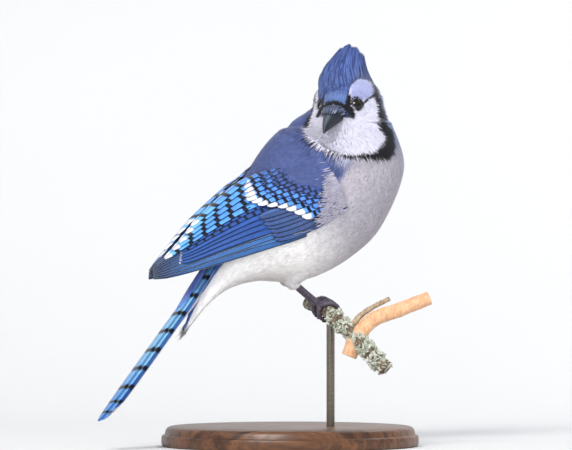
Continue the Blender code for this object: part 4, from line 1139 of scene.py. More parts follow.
def tuft_blades(name, spots, outs, across, half, look, marks, patch, widths=(0.8, 1.0, 0.0)):
    """Thin closed three-sided blades through the stations of each tuft, the last of them its point."""
    count, rows = len(half), len(spots)
    stations, shading = [], []
    for spot, out, wide in zip(spots, outs, widths):
        arm = across * (half * wide)[:, None]
        if wide:
            stations += [spot - arm, spot + arm, spot + out * (half * 0.5)[:, None]]
            shading += [out - across * TUFT_ROUND, out + across * TUFT_ROUND, out]
        else:
            stations.append(spot)
            shading.append(out)
    points = np.stack(stations, 1)
    own = points.shape[1]
    one = [(0, 2, 1)]
    for a in range(0, own - 4, 3):
        for i, j in ((0, 1), (1, 2), (2, 0)):
            one += [(a + i, a + j, a + j + 3), (a + i, a + j + 3, a + i + 3)]
    one += [(own - 4, own - 3, own - 1), (own - 3, own - 2, own - 1), (own - 2, own - 4, own - 1)]
    triangles = (np.array(one)[None] + (np.arange(count) * own)[:, None, None]).reshape(-1, 3)
    made = triangle_mesh(name, points.reshape(-1, 3), triangles, look)
    face_out(made)
    soften(made, np.stack(shading, 1))
    for key, value in marks.items():
        give_values(made, key, np.repeat(value, own))
    run = np.repeat(np.linspace(0, 1, rows), 3)[:own]
    give_values(made, "tone", np.repeat(rng.random(count), own))
    give_values(made, "tip", np.tile(run, count))
    small = np.stack([np.tile((-1, 1, 0), rows)[:own] * (run < 1), run * 2 - 1], 1) * PATCH_HALF
    give_map(made, "OFBake", (patch[:, None] + small[None]).reshape(-1, 2))
    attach(made, "root")
    return made


def coat_parts(ring, marks):
    """The coat's pieces by name, each with the tufts that belong to it."""
    head = ring > HEAD_RING
    neck = (ring > 8.3) & ~head
    back = (marks["mantle"] > 0.5) & ~head & ~neck
    low = (ring < 4.8) & ~back & ~head & ~neck
    return {
        "coat_crown": head & (marks["crown"] > 0.5), "coat_face": head & (marks["crown"] <= 0.5),
        "coat_neck": neck, "coat_mantle": back, "coat_belly": low,
        "coat_breast": ~(head | neck | back | low),
    }


def coat_share():
    """The share of the coat's tufts that is made."""
    return 1.0


def make_coat(looks):
    """The coat over head, neck and body."""
    ring = np.arange(body.rows) / FORM_BETWEEN
    per_mm = bend(COAT_DENSITY, ring) * coat_share()
    u, v = body.scatter(np.repeat(per_mm[:, None], body.sides, 1))
    points, normals = body.at(u, v)
    ring, angle = form_place(u, v)
    s, w, height, away, _ = wings.find(points)
    top = np.maximum(0.0, MANTLE_COVER - MANTLE_SLOPE * s) + 0.02
    hidden = wings.covers(s, w, height, away) & (w > top + 0.05) & (w < 0.97)
    eyes = [np.linalg.norm(points - centre - look, axis=1) for centre, look in map(eye_place, (1, -1))]
    eyes = np.min(eyes, axis=0)
    bill = np.linalg.norm(points - BILL_BASE, axis=1)
    keep = ~hidden & (eyes > 4.5) & (bill > 5.6)
    u, v, points, normals = u[keep], v[keep], points[keep], normals[keep]
    ring, angle, bill, eyes = ring[keep], angle[keep], bill[keep], eyes[keep]
    tailward = -unit(body.blend(body.along, u, v))
    marks = jay_marks(points, ring, angle)
    way = lie_of_coat(points, normals, tailward, ring, marks)
    side_angle = np.abs((np.degrees(angle) + 180) % 360 - 180)
    on_head = np.maximum(smooth(8.8, HEAD_RING, ring), marks["white"])
    face_length = bend(FACE_TUFTS, bill)
    belly = smooth(5.2, 3.6, ring) * smooth(100, 70, side_angle)
    body_length = 6.4 + 3.0 * belly
    length = (face_length * on_head + body_length * (1 - on_head)) * rng.uniform(0.75, 1.25, len(u))
    length = length + 2.4 * marks["crown"]
    length = np.minimum(length, np.where(eyes < 7.5, 1.6, 99))
    length = length * np.interp(ring, (0, 1.5), (1.5, 1))
    half = (0.145 + 0.0055 * bill) * on_head + (0.27 + 0.05 * belly) * (1 - on_head)
    half = half * rng.uniform(0.8, 1.25, len(u))
    base = bend(COAT_DEPTH, ring) + 0.2
    loose = 0.16 + 0.45 * belly
    stand = rng.uniform(-0.5, 1.0, len(u)) * np.minimum(loose, 0.06 + 0.02 * bill)
    rim = smooth(7.0, 1.0, np.abs(path_gap(np.stack(head_place(points), -1), COLLAR))) * marks["white"]
    stand = stand + rim * smooth(14, 20, bill) * rng.uniform(0.4, 1.8, len(u))
    length = length * (1 + 0.5 * rim * rng.random(len(u)))
    du, dv = body.step(u, v, way, length * 0.6)
    seen = body.at(u + du, v + dv)[0]
    marks = jay_marks(seen, *form_place(u + du, v + dv))
    patch = body.patches(u, v)
    sound = (np.linalg.norm(seen - points, axis=1) < length * 0.85) & (u > 0.5)
    for name, chosen in coat_parts(ring, marks).items():
        picked = np.flatnonzero(chosen & sound)
        batches = np.array_split(picked, max(1, math.ceil(len(picked) / MOST_TUFTS)))
        for number, batch in enumerate(batches):
            if not len(batch):
                continue
            word = name if len(batches) == 1 else f"{name}_{number + 1}"
            tuft_mesh(
                word, body, u[batch], v[batch], way[batch], length[batch], half[batch], base[batch],
                stand[batch], looks["coat"], {k: m[batch] for k, m in marks.items()}, patch[batch],
            )


def make_wing_fronts(looks):
    """Soft feathers over the front of each wing, between the mantle and the barred coverts."""
    for side, word in ((1, "right"), (-1, "left")):
        count = WING_FRONT_TUFTS
        s, w = rng.uniform(-0.08, 0.24, count), rng.uniform(0.0, 1.02, count)
        length = rng.uniform(0.035, 0.07, count)
        edge = bend(WHITE_BAR, w) - bend(BARRED_BACK, w) + rng.normal(0, 0.008, count)
        pale = s + length * 1.3 < bend(BREAST_OVER_WING, w) + rng.normal(0, 0.024, count)
        keep = (s + length < edge) | pale
        s, w, length, pale = s[keep], w[keep], length[keep], pale[keep]
        drift = rng.normal(0, 0.012, len(s))
        lift = rng.uniform(0.7, 1.4, len(s)) + 1.2 * pale
        spots, outs = [], []
        for t in (0.0, 0.5, 1.0):
            spots.append(wing_point(s + length * t, w + drift * t, 0.4 + lift * t))
            outs.append(wing_normal(s + length * t, w + drift * t))
        across = unit(np.cross(outs[0], spots[2] - spots[0]))
        if side < 0:
            spots, outs, across = [mirrored(x) for x in spots], [mirrored(x) for x in outs], -mirrored(across)
        marks = bare_marks(len(s))
        marks["mantle"] = 1 - pale * rng.uniform(0.5, 1.0, len(s))
        marks["breast"] = np.ones(len(s))
        patch = np.stack([(s + 0.1) * 2.6, w * 0.9], 1) + 0.04
        made = tuft_blades(
            f"wing_{word}_front", spots, outs, across, rng.uniform(0.22, 0.34, len(s)), looks["coat"],
            marks, patch,
        )
        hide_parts(f"wing_{word}")


def make_thigh_coats(looks):
    """Soft feathers down each thigh."""
    for side, word in ((1, "right"), (-1, "left")):
        form = Form(thigh_rings(side))
        u, v = form.scatter(np.full((form.rows, form.sides), THIGH_DENSITY * coat_share()))
        normals = form.at(u, v)[1]
        tailward = unit(form.blend(form.along, u, v))
        way = tailward + rng.normal(0, 0.16, tailward.shape)
        way = unit(way - normals * dot(way, normals)[:, None])
        length = rng.uniform(3.6, 6.0, len(u)) * np.interp(u, (0, 24, 36), (1.2, 1.0, 0.5))
        half = rng.uniform(0.22, 0.36, len(u))
        marks = bare_marks(len(u))
        marks["breast"] = np.full(len(u), 0.35)
        patch = form.patches(u, v)
        tuft_mesh(
            f"coat_thigh_{word}", form, u, v, way, length, half, np.full(len(u), 1.7),
            rng.uniform(-0.3, 0.8, len(u)), looks["coat"], marks, patch,
        )


# Eyes and bill


def facing(look):
    """Rows of a turn that carries +Z onto a direction."""
    side = unit(np.cross(look, UP))
    return np.stack([side, np.cross(look, side), look])


def make_eyes(looks):
    """Each eye as a ball with a slight cornea, and its bare rims."""
    for side, word in ((1, "left"), (-1, "right")):
        centre, look = eye_place(side)
        turn = facing(look)
        rows, sides = 48, 64
        polar = np.linspace(0.02, math.pi - 0.02, rows)
        round_it = np.linspace(0, 2 * math.pi, sides, endpoint=False)
        cornea = 1 + CORNEA_BULGE * np.exp(-((polar / CORNEA_SPREAD) ** 4))
        rings = np.stack([
            np.outer(np.sin(polar), np.cos(round_it)), np.outer(np.sin(polar), np.sin(round_it)),
            np.repeat(np.cos(polar)[:, None], sides, 1),
        ], -1) * (EYE_RADIUS * cornea)[:, None, None]
        ball = ring_mesh(f"eyeball_{word}", rings @ turn + centre, looks["eye"])
        give_values(ball, "polar", np.concatenate([np.repeat(polar, sides), (0, math.pi)]))
        give_values(ball, "turn", np.concatenate([np.tile(round_it, rows), (0, 0)]))
        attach(ball, "root")
        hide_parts(f"eye_{word}")
        make_lid(side, word, looks)


def make_lid(side, word, looks):
    """The bare rim of an eye, round and beaded."""
    centre, look = eye_place(side)
    turn = facing(look)
    rise = math.sqrt((EYE_RADIUS + 0.5) ** 2 - LID_RADIUS**2)
    count, sides = 96, 12
    round_it = np.linspace(0, 2 * math.pi, count, endpoint=False)
    round_rim = np.linspace(0, 2 * math.pi, sides, endpoint=False)
    bead = 1 + 0.10 * np.cos(round_it * LID_BEADS)[:, None]
    out = LID_RADIUS + LID_HALF * np.cos(round_rim) * bead
    lift = rise + LID_HIGH * np.sin(round_rim) * bead
    rings = np.stack([np.cos(round_it)[:, None] * out, np.sin(round_it)[:, None] * out, lift], -1)
    rings = rings @ turn + centre
    points = rings.reshape(-1, 3)
    i, j = np.meshgrid(np.arange(count), np.arange(sides), indexing="ij")
    a = (i * sides + j).ravel()
    b = (i * sides + (j + 1) % sides).ravel()
    c = (((i + 1) % count) * sides + (j + 1) % sides).ravel()
    d = (((i + 1) % count) * sides + j).ravel()
    triangles = np.concatenate([np.stack([a, b, c], 1), np.stack([a, c, d], 1)])
    made = triangle_mesh(f"eyelid_{word}", points, triangles, looks["lid"])
    face_out(made)
    low = smooth(0.2, -0.5, dot(unit(points - centre), UP) - look[2] * 0.6)
    give_values(made, "low", low)
    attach(made, "root")


def bill_frame():
    """The way that the bill points, and the way up from it."""
    ahead = unit(turned(FACE, HEAD_LEFT, BILL_DIP))
    return ahead, unit(np.cross(ahead, HEAD_LEFT))


def bill_section(t, upper):
    """Middle, half width and height of the bill at places along it."""
    ahead, rise = bill_frame()
    table = np.array(BILL_SECTIONS)
    place = np.interp(t, table[:, 0], np.arange(len(table)))
    wide, high, low, droop = through(table[:, 1:], place).T
    middle = BILL_BASE + np.outer(t * BILL_LENGTH - BILL_SUNK, ahead) - np.outer(droop, rise)
    return middle, wide, high if upper else low


def make_bill(looks):
    """The two halves of the bill, parted by the line of the mouth."""
    rise = bill_frame()[1]
    for upper, word in ((True, "upper"), (False, "lower")):
        t = 1 - (1 - np.linspace(0, 1, 56)) ** 1.15
        t = t * (1.0 if upper else 0.968)
        middle, wide, tall = bill_section(t, upper)
        angles = np.linspace(0, math.pi, 25)
        out = np.cos(angles)
        up = np.sin(angles) ** (0.86 if upper else 0.8)
        ridge = 1 + 0.05 * np.exp(-((angles - math.pi / 2) / 0.16) ** 2) * (1 if upper else 0)
        way = 1 if upper else -1
        edge = 0.12 * way
        arc = middle[:, None] + (wide[:, None] * out)[..., None] * HEAD_LEFT
        arc = arc + ((tall[:, None] - 0.12) * up * ridge * way + edge)[..., None] * rise
        inside = middle[:, None] + (wide[:, None] * np.linspace(-0.86, 0.86, 9))[..., None] * HEAD_LEFT
        inside = inside + (edge + 0.25 * way) * rise
        rings = np.concatenate([arc, inside], axis=1)
        piece = ring_mesh(f"{word}_bill_horn", rings, looks["bill"])
        sides = rings.shape[1]
        give_values(piece, "along", np.concatenate([np.repeat(t, sides), (0, 1)]))
        turn = np.concatenate([angles, np.linspace(math.pi, 0, 9)])
        give_values(piece, "turn", np.concatenate([np.tile(turn, len(t)), (0, 0)]))
        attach(piece, "root")
        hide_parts(f"{word}_bill")


def make_bristles(looks):
    """Stiff little feathers that lie forward over the nostrils and the base of the bill."""
    rise = bill_frame()[1]
    count, rows = BRISTLES, len(CREST_BLADE)
    t = np.linspace(0, 1, rows)
    angle = np.clip(rng.normal(0, 0.62, count), -1.45, 1.45)
    start = rng.uniform(-1.5, 3.2, count) - 1.2 * np.abs(angle)
    length = rng.uniform(4.5, 7.5, count) * (1 - 0.25 * np.abs(angle))
    run = start[:, None] + length[:, None] * t
    share = np.clip((run + BILL_SUNK) / BILL_LENGTH, 0, 1)
    middle, wide, high = bill_section(share.ravel(), True)
    middle, wide, high = (x.reshape(count, rows, *x.shape[1:]) for x in (middle, wide, high))
    lean = angle[:, None] * (1 - 0.18 * t) + rng.normal(0, 0.06, (count, 1)) * t
    clear = 0.5 + 0.9 * np.sin(math.pi * np.minimum(t + 0.15, 1)) + rng.uniform(-0.2, 0.5, (count, 1))
    side = (wide + clear) * np.sin(lean)
    up = (high + clear) * np.abs(np.cos(lean)) ** 0.9
    lines = middle + side[..., None] * HEAD_LEFT + up[..., None] * rise
    normals = unit(np.sin(lean)[..., None] * HEAD_LEFT + np.cos(lean)[..., None] * rise)
    arms = unit(np.cross(normals[:, 2], lines[:, -1] - lines[:, 0]))
    patch = np.stack([0.5 + angle * 0.3, 0.1 + share[:, 0]], 1)
    made = tuft_blades(
        "nasal_bristles", lines.swapaxes(0, 1), normals.swapaxes(0, 1), arms, rng.uniform(0.14, 0.24, count),
        looks["bristle"], {}, patch, CREST_BLADE,
    )


# Legs and feet


def grip_frame(side):
    """Where a foot holds the perch: its middle, the way along it, across it and out of it."""
    base, lead = perch_at(0 if side > 0 else -FOOT_SPACING)
    across = unit(np.cross(lead, UP))
    across = across if across.dot(FORWARD) > 0 else -across
    rise = unit(np.cross(across, lead))
    return base, lead, across, rise if rise[2] > 0 else -rise


def make_legs(looks):
    """Scaled tarsi, feet with jointed toes, and the claws."""
    for side, word in ((1, "right"), (-1, "left")):
        _, heel, ankle = leg_joints(side)
        shank = unit(ankle - heel)
        t = np.linspace(0, 1, 90)
        top = heel - shank
        path = top + np.outer(t, ankle - shank * 1.5 - top)
        scute = 1 + 0.05 * np.abs(np.sin(t * math.pi * 8.5)) ** 0.6
        radii = bend(SHANK_RADII, t) * scute
        tarsus = ring_mesh(f"shank_{word}", tube_rings(path, radii, 28), looks["scales"])
        give_values(tarsus, "along", np.concatenate([np.repeat(t * 20, 28), (0, 20)]))
        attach(tarsus, "root")
        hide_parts(f"tarsus_{word}")
        make_foot(side, word, ankle, looks)


def make_foot(side, word, ankle, looks):
    """One foot: toes from the ankle round the perch, with their claws."""
    base, lead, across, rise = grip_frame(side)
    foot = None
    for number, (length, spread, way) in enumerate(TOES):
        k = np.linspace(0, 1, 60)
        angle = TOE_START[way] - way * length * k / TOE_GRIP
        sideways = spread * np.minimum(1.0, 0.35 + k)
        out = np.cos(angle)[:, None] * across + np.sin(angle)[:, None] * rise
        line = base + sideways[:, None] * lead + out * (TOE_GRIP + 0.1)
        lead_in = ankle + np.linspace(0, 1, 14, endpoint=False)[:, None] * (line[0] - ankle)
        line = np.concatenate([lead_in, line])
        run = np.linspace(0, 1, len(line))
        joints = 1 + 0.10 * np.maximum(0, np.cos(run * math.pi * 7)) - 0.02 * np.cos(run * math.pi * 44)
        radii = TOE_RADIUS * np.interp(run, (0, 0.2, 1), (1.3, 1.12, 0.78)) * joints
        radii[-3:] *= (0.93, 0.75, 0.4)
        rings = tube_rings(smooth_path(line, 5), radii, 20)
        toe = ring_mesh(f"foot_{word}_scales" if foot is None else "toe", rings, looks["scales"])
        give_values(toe, "along", np.concatenate([np.repeat(run * length, 20), (0, length)]))
        if foot is None:
            foot = toe
        else:
            join_mesh(foot, toe)
        make_claw(word, number, side, length, spread, way, looks)
    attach(foot, "root")
    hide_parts(f"foot_{word}")


def smooth_path(points, times):
    """A path with its corners eased, its ends kept."""
    for _ in range(times):
        points = np.concatenate([points[:1], (points[:-2] + points[1:-1] * 2 + points[2:]) / 4, points[-1:]])
    return points


def make_claw(word, number, side, length, spread, way, looks):
    """A curved claw that tapers to its point."""
    base, lead, across, rise = grip_frame(side)
    end = TOE_START[way] - way * length / TOE_GRIP
    t = np.linspace(0, 1, 30)
    turn = end - way * (CLAW_LENGTH[way] * t + 0.2) / (TOE_GRIP + 0.6)
    out = np.cos(turn)[:, None] * across + np.sin(turn)[:, None] * rise
    line = base + lead * spread * 1.3 * np.linspace(0.96, 1, 30)[:, None]
    line = line + out * (TOE_GRIP + 0.4 - 0.7 * t)[:, None]
    radii = TOE_RADIUS * (0.86 * (1 - t) ** 0.8 + 0.06)
    name = "back" if way < 0 else str(number + 1)
    claw = ring_mesh(f"claw_horn_{word}_{name}", tube_rings(line, radii, 16), looks["claw"])
    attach(claw, "root")
    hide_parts(f"claw_{word}_{name}")


# Perch and stand


def bark_tube(name, knots, radii, look, rough=0.04, count=140, sides=48):
    """A stick with bumpy bark."""
    places = np.linspace(0, len(knots) - 1, count)
    path = through(knots, places)
    thick = np.interp(np.linspace(0, 1, count), np.linspace(0, 1, len(radii)), radii)
    rings = tube_rings(path, thick, sides)
    middle = rings.mean(1, keepdims=True)
    angles = np.linspace(0, 2 * math.pi, sides, endpoint=False)
    run = np.linspace(0, count * 0.35, count)[:, None]
    bump = np.sin(run * 0.9 + 2.0 * np.sin(angles * 2)) + 0.6 * np.sin(run * 2.3 + angles * 3 + 1)
    bump = bump + 0.5 * np.sin(angles * 7 + run * 0.6) + rng.normal(0, 0.35, (count, sides))
    rings = middle + (rings - middle) * (1 + rough * bump)[..., None]
    made = ring_mesh(name, rings, look)
    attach(made, "root")
    return made


def make_perch(looks):
    """The lichened twig under the feet, the peeled branch and the thin twig that fork off it."""
    radii = [PERCH_RADIUS + (0.45 * math.sin(i * 2.1) if i > 9 else 0) for i in range(17)]
    twig = bark_tube("lichened_twig", PERCH, radii, looks["bark"], 0.035)
    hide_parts("perch")
    bark_tube("peeled_branch", BRANCH, BRANCH_RADII, looks["peeled"], 0.02)
    bark_tube("thin_twig", TWIG, TWIG_RADII, looks["thin_bark"], 0.05, 80, 24)
    make_lichen(looks)


def make_lichen(looks):
    """Crumpled leaves of lichen in tufts along the twig."""
    points, triangles = [], []
    dense = through(PERCH, np.linspace(2.6, len(PERCH) - 1.02, 200))
    along = unit(np.gradient(dense, axis=0))
    sides = 9
    for _ in range(LICHEN_LEAVES):
        clump = rng.random() ** 0.8
        i = int(clump * 199)
        if 0.5 + 0.5 * math.sin(i * 0.16) < rng.random() * 0.9:
            continue
        out = unit(np.cross(along[i], rng.normal(size=3)))
        if out[1] > 0.2 and rng.random() < 0.5:
            out = -out
        root = dense[i] + out * (PERCH_RADIUS + rng.uniform(-0.3, 0.2))
        lean = unit(out + rng.normal(0, 0.55, 3))
        wide = unit(np.cross(lean, rng.normal(size=3)))
        size = rng.uniform(0.7, 2.0)
        turn = np.linspace(0, 2 * math.pi, sides, endpoint=False)
        reach_out = size * rng.uniform(0.6, 1.2, sides)
        frill = rng.normal(0, 0.22 * size, sides)
        other = np.cross(lean, wide)
        rim = root + lean * size * 0.7 + (np.cos(turn) * reach_out)[:, None] * wide
        rim = rim + (np.sin(turn) * reach_out * 0.6)[:, None] * lean + frill[:, None] * other
        first = sum(len(p) for p in points)
        middle = root + lean * size * 0.5
        middles = [middle + other * 0.3, middle - other * 0.3]
        points.append(np.concatenate([rim + other * 0.12, rim - other * 0.12, middles]))
        j = np.arange(sides)
        k = (j + 1) % sides
        leaf = [
            np.stack([np.full(sides, 2 * sides), j, k], 1),
            np.stack([np.full(sides, 2 * sides + 1), sides + k, sides + j], 1),
            np.stack([j, sides + j, sides + k], 1), np.stack([j, sides + k, k], 1),
        ]
        triangles.append(np.concatenate(leaf) + first)
    made = triangle_mesh("lichen", np.concatenate(points), np.concatenate(triangles), looks["lichen"])
    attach(made, "root")


def make_stand(looks):
    """The turned base and the rod that holds the perch."""
    radius, height = BASE_RADIUS, BASE_HEIGHT
    profile = np.array((
        (0.5, 0), (radius - 2, 0), (radius - 0.6, 0.5), (radius, 2), (radius, 5.6), (radius - 0.5, 6.6),
        (radius - 1.9, 7.2), (radius - 2.2, 8.0), (radius - 2.6, 9.8), (radius - 3.6, 11.3),
        (radius - 5.4, height), (radius * 0.5, height), (0.5, height),
    ))
    angles = np.linspace(0, 2 * math.pi, 144, endpoint=False)
    around = np.stack([np.cos(angles), np.sin(angles), np.zeros(144)], -1)
    rings = profile[:, :1, None] * around + profile[:, 1:, None] * UP
    base = ring_mesh("turned_base", rings, looks["wood"])
    base.data.set_sharp_from_angle(angle=math.radians(40))
    top = perch_at(4.0)[0]
    heights = np.linspace(BASE_HEIGHT - ROD_SUNK, top[2] - 1.0, 24)
    path = np.stack([np.full(24, top[0]), np.full(24, top[1]), heights], -1)
    rod = ring_mesh("rod", tube_rings(path, np.full(24, ROD_RADIUS), 48), looks["metal"])
    for piece, node, slot in ((base, "stand_base", "base_wood"), (rod, "stand_rod", "rod_metal")):
        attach(piece, "root")
        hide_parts(node)


# Materials


def colour(red, green, blue):
    """A colour written as it looks on screen, 0 to 255, in the linear values shaders take."""
    c = np.array((red, green, blue)) / 255
    return (*np.where(c <= 0.04045, c / 12.92, ((c + 0.055) / 1.055) ** 2.4), 1.0)


class Wiring:
    """Short ways to add and join nodes in one tree."""

    def __init__(self, tree):
        self.tree = tree

    def add(self, kind, **settings):
        node = self.tree.nodes.new(kind)
        for key, value in settings.items():
            setattr(node, key, value)
        return node

    def put(self, socket, value):
        if isinstance(value, bpy.types.NodeSocket):
            self.tree.links.new(value, socket)
        else:
            socket.default_value = value

    def math(self, operation, *values):
        node = self.add("ShaderNodeMath", operation=operation)
        for socket, value in zip(node.inputs, values):
            self.put(socket, value)
        return node.outputs[0]

    def times(self, first, second):
        return self.math("MULTIPLY", first, second)

    def slope(self, value, low, high, start=0.0, end=1.0):
        node = self.add("ShaderNodeMapRange", interpolation_type="SMOOTHSTEP")
        for socket, given in zip(node.inputs, (value, low, high, start, end)):
            self.put(socket, given)
        return node.outputs[0]

    def mix(self, share, first, second, blend_type="MIX"):
        node = self.add("ShaderNodeMix", data_type="RGBA", blend_type=blend_type)
        self.put(node.inputs[0], share)
        self.put(node.inputs[6], first)
        self.put(node.inputs[7], second)
        return node.outputs[2]

    def noise(self, vector, scale, detail=2.0, rough=0.5, distortion=0.0):
        node = self.add("ShaderNodeTexNoise")
        self.put(node.inputs["Vector"], vector)
        settings = {"Scale": scale, "Detail": detail, "Roughness": rough, "Distortion": distortion}
        for key, value in settings.items():
            node.inputs[key].default_value = value
        return node.outputs[0]

    def point(self, x=0.0, y=0.0, z=0.0):
        node = self.add("ShaderNodeCombineXYZ")
        for socket, value in zip(node.inputs, (x, y, z)):
            self.put(socket, value)
        return node.outputs[0]

    def value(self, name):
        return self.add("ShaderNodeAttribute", attribute_name=name).outputs["Fac"]

    def place(self):
        return self.add("ShaderNodeTexCoord").outputs["Object"]

    def group(self, name, **values):
        node = self.add("ShaderNodeGroup", node_tree=bpy.data.node_groups[name])
        for key, value in values.items():
            self.put(node.inputs[key.replace("_", " ")], value)
        return node.outputs


def new_group(name, inputs, outputs):
    """An empty node group with named sockets; returns its wiring, inputs and outputs."""
    tree = bpy.data.node_groups.new(name, "ShaderNodeTree")
    for direction, sockets in (("INPUT", inputs), ("OUTPUT", outputs)):
        for key, kind, *default in sockets:
            socket = tree.interface.new_socket(key, in_out=direction, socket_type=f"NodeSocket{kind}")
            if default:
                socket.default_value = default[0]
    wiring = Wiring(tree)
    return wiring, wiring.add("NodeGroupInput").outputs, wiring.add("NodeGroupOutput").inputs


def barb_group():
    """The fine slanting lines of a feather's barbs."""
    w, given, out = new_group(
        "feather barbs",
        (
            ("Along", "Float", 0.0), ("Across", "Float", 0.0), ("Fineness", "Float", 1.0),
            ("Tone", "Float", 0.5),
        ),
        (("Shade", "Float"), ("Height", "Float")),
    )
    off = w.math("ABSOLUTE", given["Across"])
    slant = w.math("SUBTRACT", given["Along"], w.times(off, 3.2))
    fine = w.times(slant, given["Fineness"])
    lines = w.noise(w.point(w.times(fine, 3.0), given["Across"], w.times(given["Tone"], 40)), 1.0, 2.0)
    broad = w.noise(w.point(w.times(fine, 0.35), given["Across"], w.times(given["Tone"], 90)), 1.0, 2.0)
    both = w.math("ADD", w.times(lines, 0.6), w.times(broad, 0.4))
    w.put(out["Shade"], w.slope(both, 0.3, 0.7, 0.78, 1.14))
    w.put(out["Height"], lines)


def bar_group():
    """Cross bars at every whole number of a running place."""
    w, given, out = new_group(
        "cross bars",
        (
            ("Place", "Float", 0.0), ("Half Width", "Float", 0.15), ("Softness", "Float", 0.05),
            ("Across", "Float", 0.0),
        ),
        (("Bar", "Float"),),
    )
    bow = w.times(w.math("ABSOLUTE", given["Across"]), 0.10)
    ragged = w.noise(w.point(w.times(given["Place"], 3.0), w.times(given["Across"], 4.0)), 2.0, 2.0)
    place = w.math("ADD", w.math("ADD", given["Place"], bow), w.times(ragged, 0.12))
    off = w.math("ABSOLUTE", w.math("SUBTRACT", w.math("FRACT", w.math("ADD", place, 0.44)), 0.5))
    low = w.math("SUBTRACT", given["Half Width"], given["Softness"])
    high = w.math("ADD", given["Half Width"], given["Softness"])
    w.put(out["Bar"], w.slope(off, low, high, 1.0, 0.0))


def new_material(name):
    """A material, its wiring and its shader."""
    made = bpy.data.materials.new(name)
    made.use_nodes = True
    shader = made.node_tree.nodes["Principled BSDF"]
    return made, Wiring(made.node_tree), shader


def bumped(w, shader, height, strength, distance=0.0002):
    """Adds relief to a shader."""
    bump = w.add("ShaderNodeBump")
    bump.inputs["Strength"].default_value = strength
    bump.inputs["Distance"].default_value = distance
    w.put(bump.inputs["Height"], height)
    w.put(shader.inputs["Normal"], bump.outputs[0])


def soft_sheen(shader, roughness, sheen=0.15):
    """The dull shine of feathers."""
    shader.inputs["Roughness"].default_value = roughness
    shader.inputs["Specular IOR Level"].default_value = 0.22
    shader.inputs["Sheen Weight"].default_value = sheen


def feather_material(
    name, ground, far, dark_edge=0.0, bar=0.0, bar_half=0.15, tip=0.0, inner=0.0, pale_edge=0.0,
    shaft=(20, 22, 34), rise=30.0,
):
    """Feathers in two blues along their length, with bars, a tip, dark or pale edges and a shaft."""
    made, w, shader = new_material(name)
    along, across, left, edge = (w.value(key) for key in ("along", "across", "left", "edge"))
    tone = w.value("tone")
    barbs = w.group("feather barbs", Along=along, Across=across, Tone=tone)
    tint = w.mix(w.slope(left, rise, 0.0), colour(*ground), colour(*far))
    if inner:
        tint = w.mix(w.times(w.slope(across, -0.1, 0.25), inner), tint, colour(*DARK_EDGE))
    if bar:
        bars = w.group("cross bars", Place=w.value("bar"), Half_Width=bar_half, Softness=0.045, Across=across)
        clear = w.slope(left, tip * 0.9, tip * 0.9 + 1.0)
        tint = w.mix(w.times(w.times(bars["Bar"], bar), clear), tint, colour(*FEATHER_BAR))
    if dark_edge:
        tint = w.mix(w.times(w.slope(edge, dark_edge, dark_edge * 0.45), 0.9), tint, colour(*DARK_EDGE))
    if pale_edge:
        tint = w.mix(w.times(w.slope(edge, pale_edge, pale_edge * 0.4), 0.75), tint, colour(*PALE_EDGE))
    if tip:
        ragged = w.math("ADD", left, w.slope(barbs["Height"], 0.3, 0.7, -0.7, 0.7))
        tint = w.mix(w.slope(ragged, tip + 0.5, tip - 0.5), tint, colour(*FEATHER_TIP))
    tint = w.mix(w.times(w.slope(w.math("ABSOLUTE", across), 0.12, 0.07), 0.8), tint, colour(*shaft))
    shade = w.times(barbs["Shade"], w.slope(tone, 0.0, 1.0, 0.9, 1.1))
    tint = w.mix(1.0, tint, w.point(shade, shade, shade), "MULTIPLY")
    w.put(shader.inputs["Base Color"], tint)
    bumped(w, shader, barbs["Height"], 0.35)
    soft_sheen(shader, 0.55)
    return made


def coat_material():
    """The coat's colours from the markings' masks, with painted shade darkening each tuft toward its root,
    and streaks.
    """
    made, w, shader = new_material("jay_coat")
    tone, tip = w.value("tone"), w.value("tip")
    patches = w.noise(w.place(), 260.0, 3.0)
    tint = w.mix(w.value("breast"), colour(253, 250, 248), colour(180, 174, 183))
    tint = w.mix(w.value("mantle"), tint, colour(76, 89, 139))
    tint = w.mix(w.value("rump"), tint, colour(72, 112, 190))
    tint = w.mix(w.value("sky"), tint, colour(118, 131, 172))
    tint = w.mix(w.value("white"), tint, colour(200, 198, 213))
    crown = w.mix(w.slope(tone, 0.1, 0.9), colour(48, 63, 116), colour(76, 97, 153))
    tint = w.mix(w.value("crown"), tint, crown)
    tint = w.mix(w.times(w.value("forehead"), 0.6), tint, colour(108, 131, 182))
    tint = w.mix(w.value("brow"), tint, colour(150, 155, 194))
    bristle = w.mix(w.slope(tone, 0.6, 0.7), colour(26, 27, 38), colour(58, 68, 104))
    tint = w.mix(w.value("bristle"), tint, bristle)
    tint = w.mix(w.value("black"), tint, colour(20, 20, 26))
    # Painted shade: each tuft is darker toward its root, as if shaded by the tufts over it; tone and patches
    # vary the brightness at random.
    shade = w.times(w.slope(tip, 0.0, 0.7, 0.86, 1.0), w.slope(tone, 0.0, 1.0, 0.9, 1.06))
    shade = w.times(shade, w.slope(patches, 0.3, 0.7, 0.93, 1.05))
    tint = w.mix(1.0, tint, w.point(shade, shade, shade), "MULTIPLY")
    w.put(shader.inputs["Base Color"], tint)
    soft_sheen(shader, 0.7, 0.2)
    return made


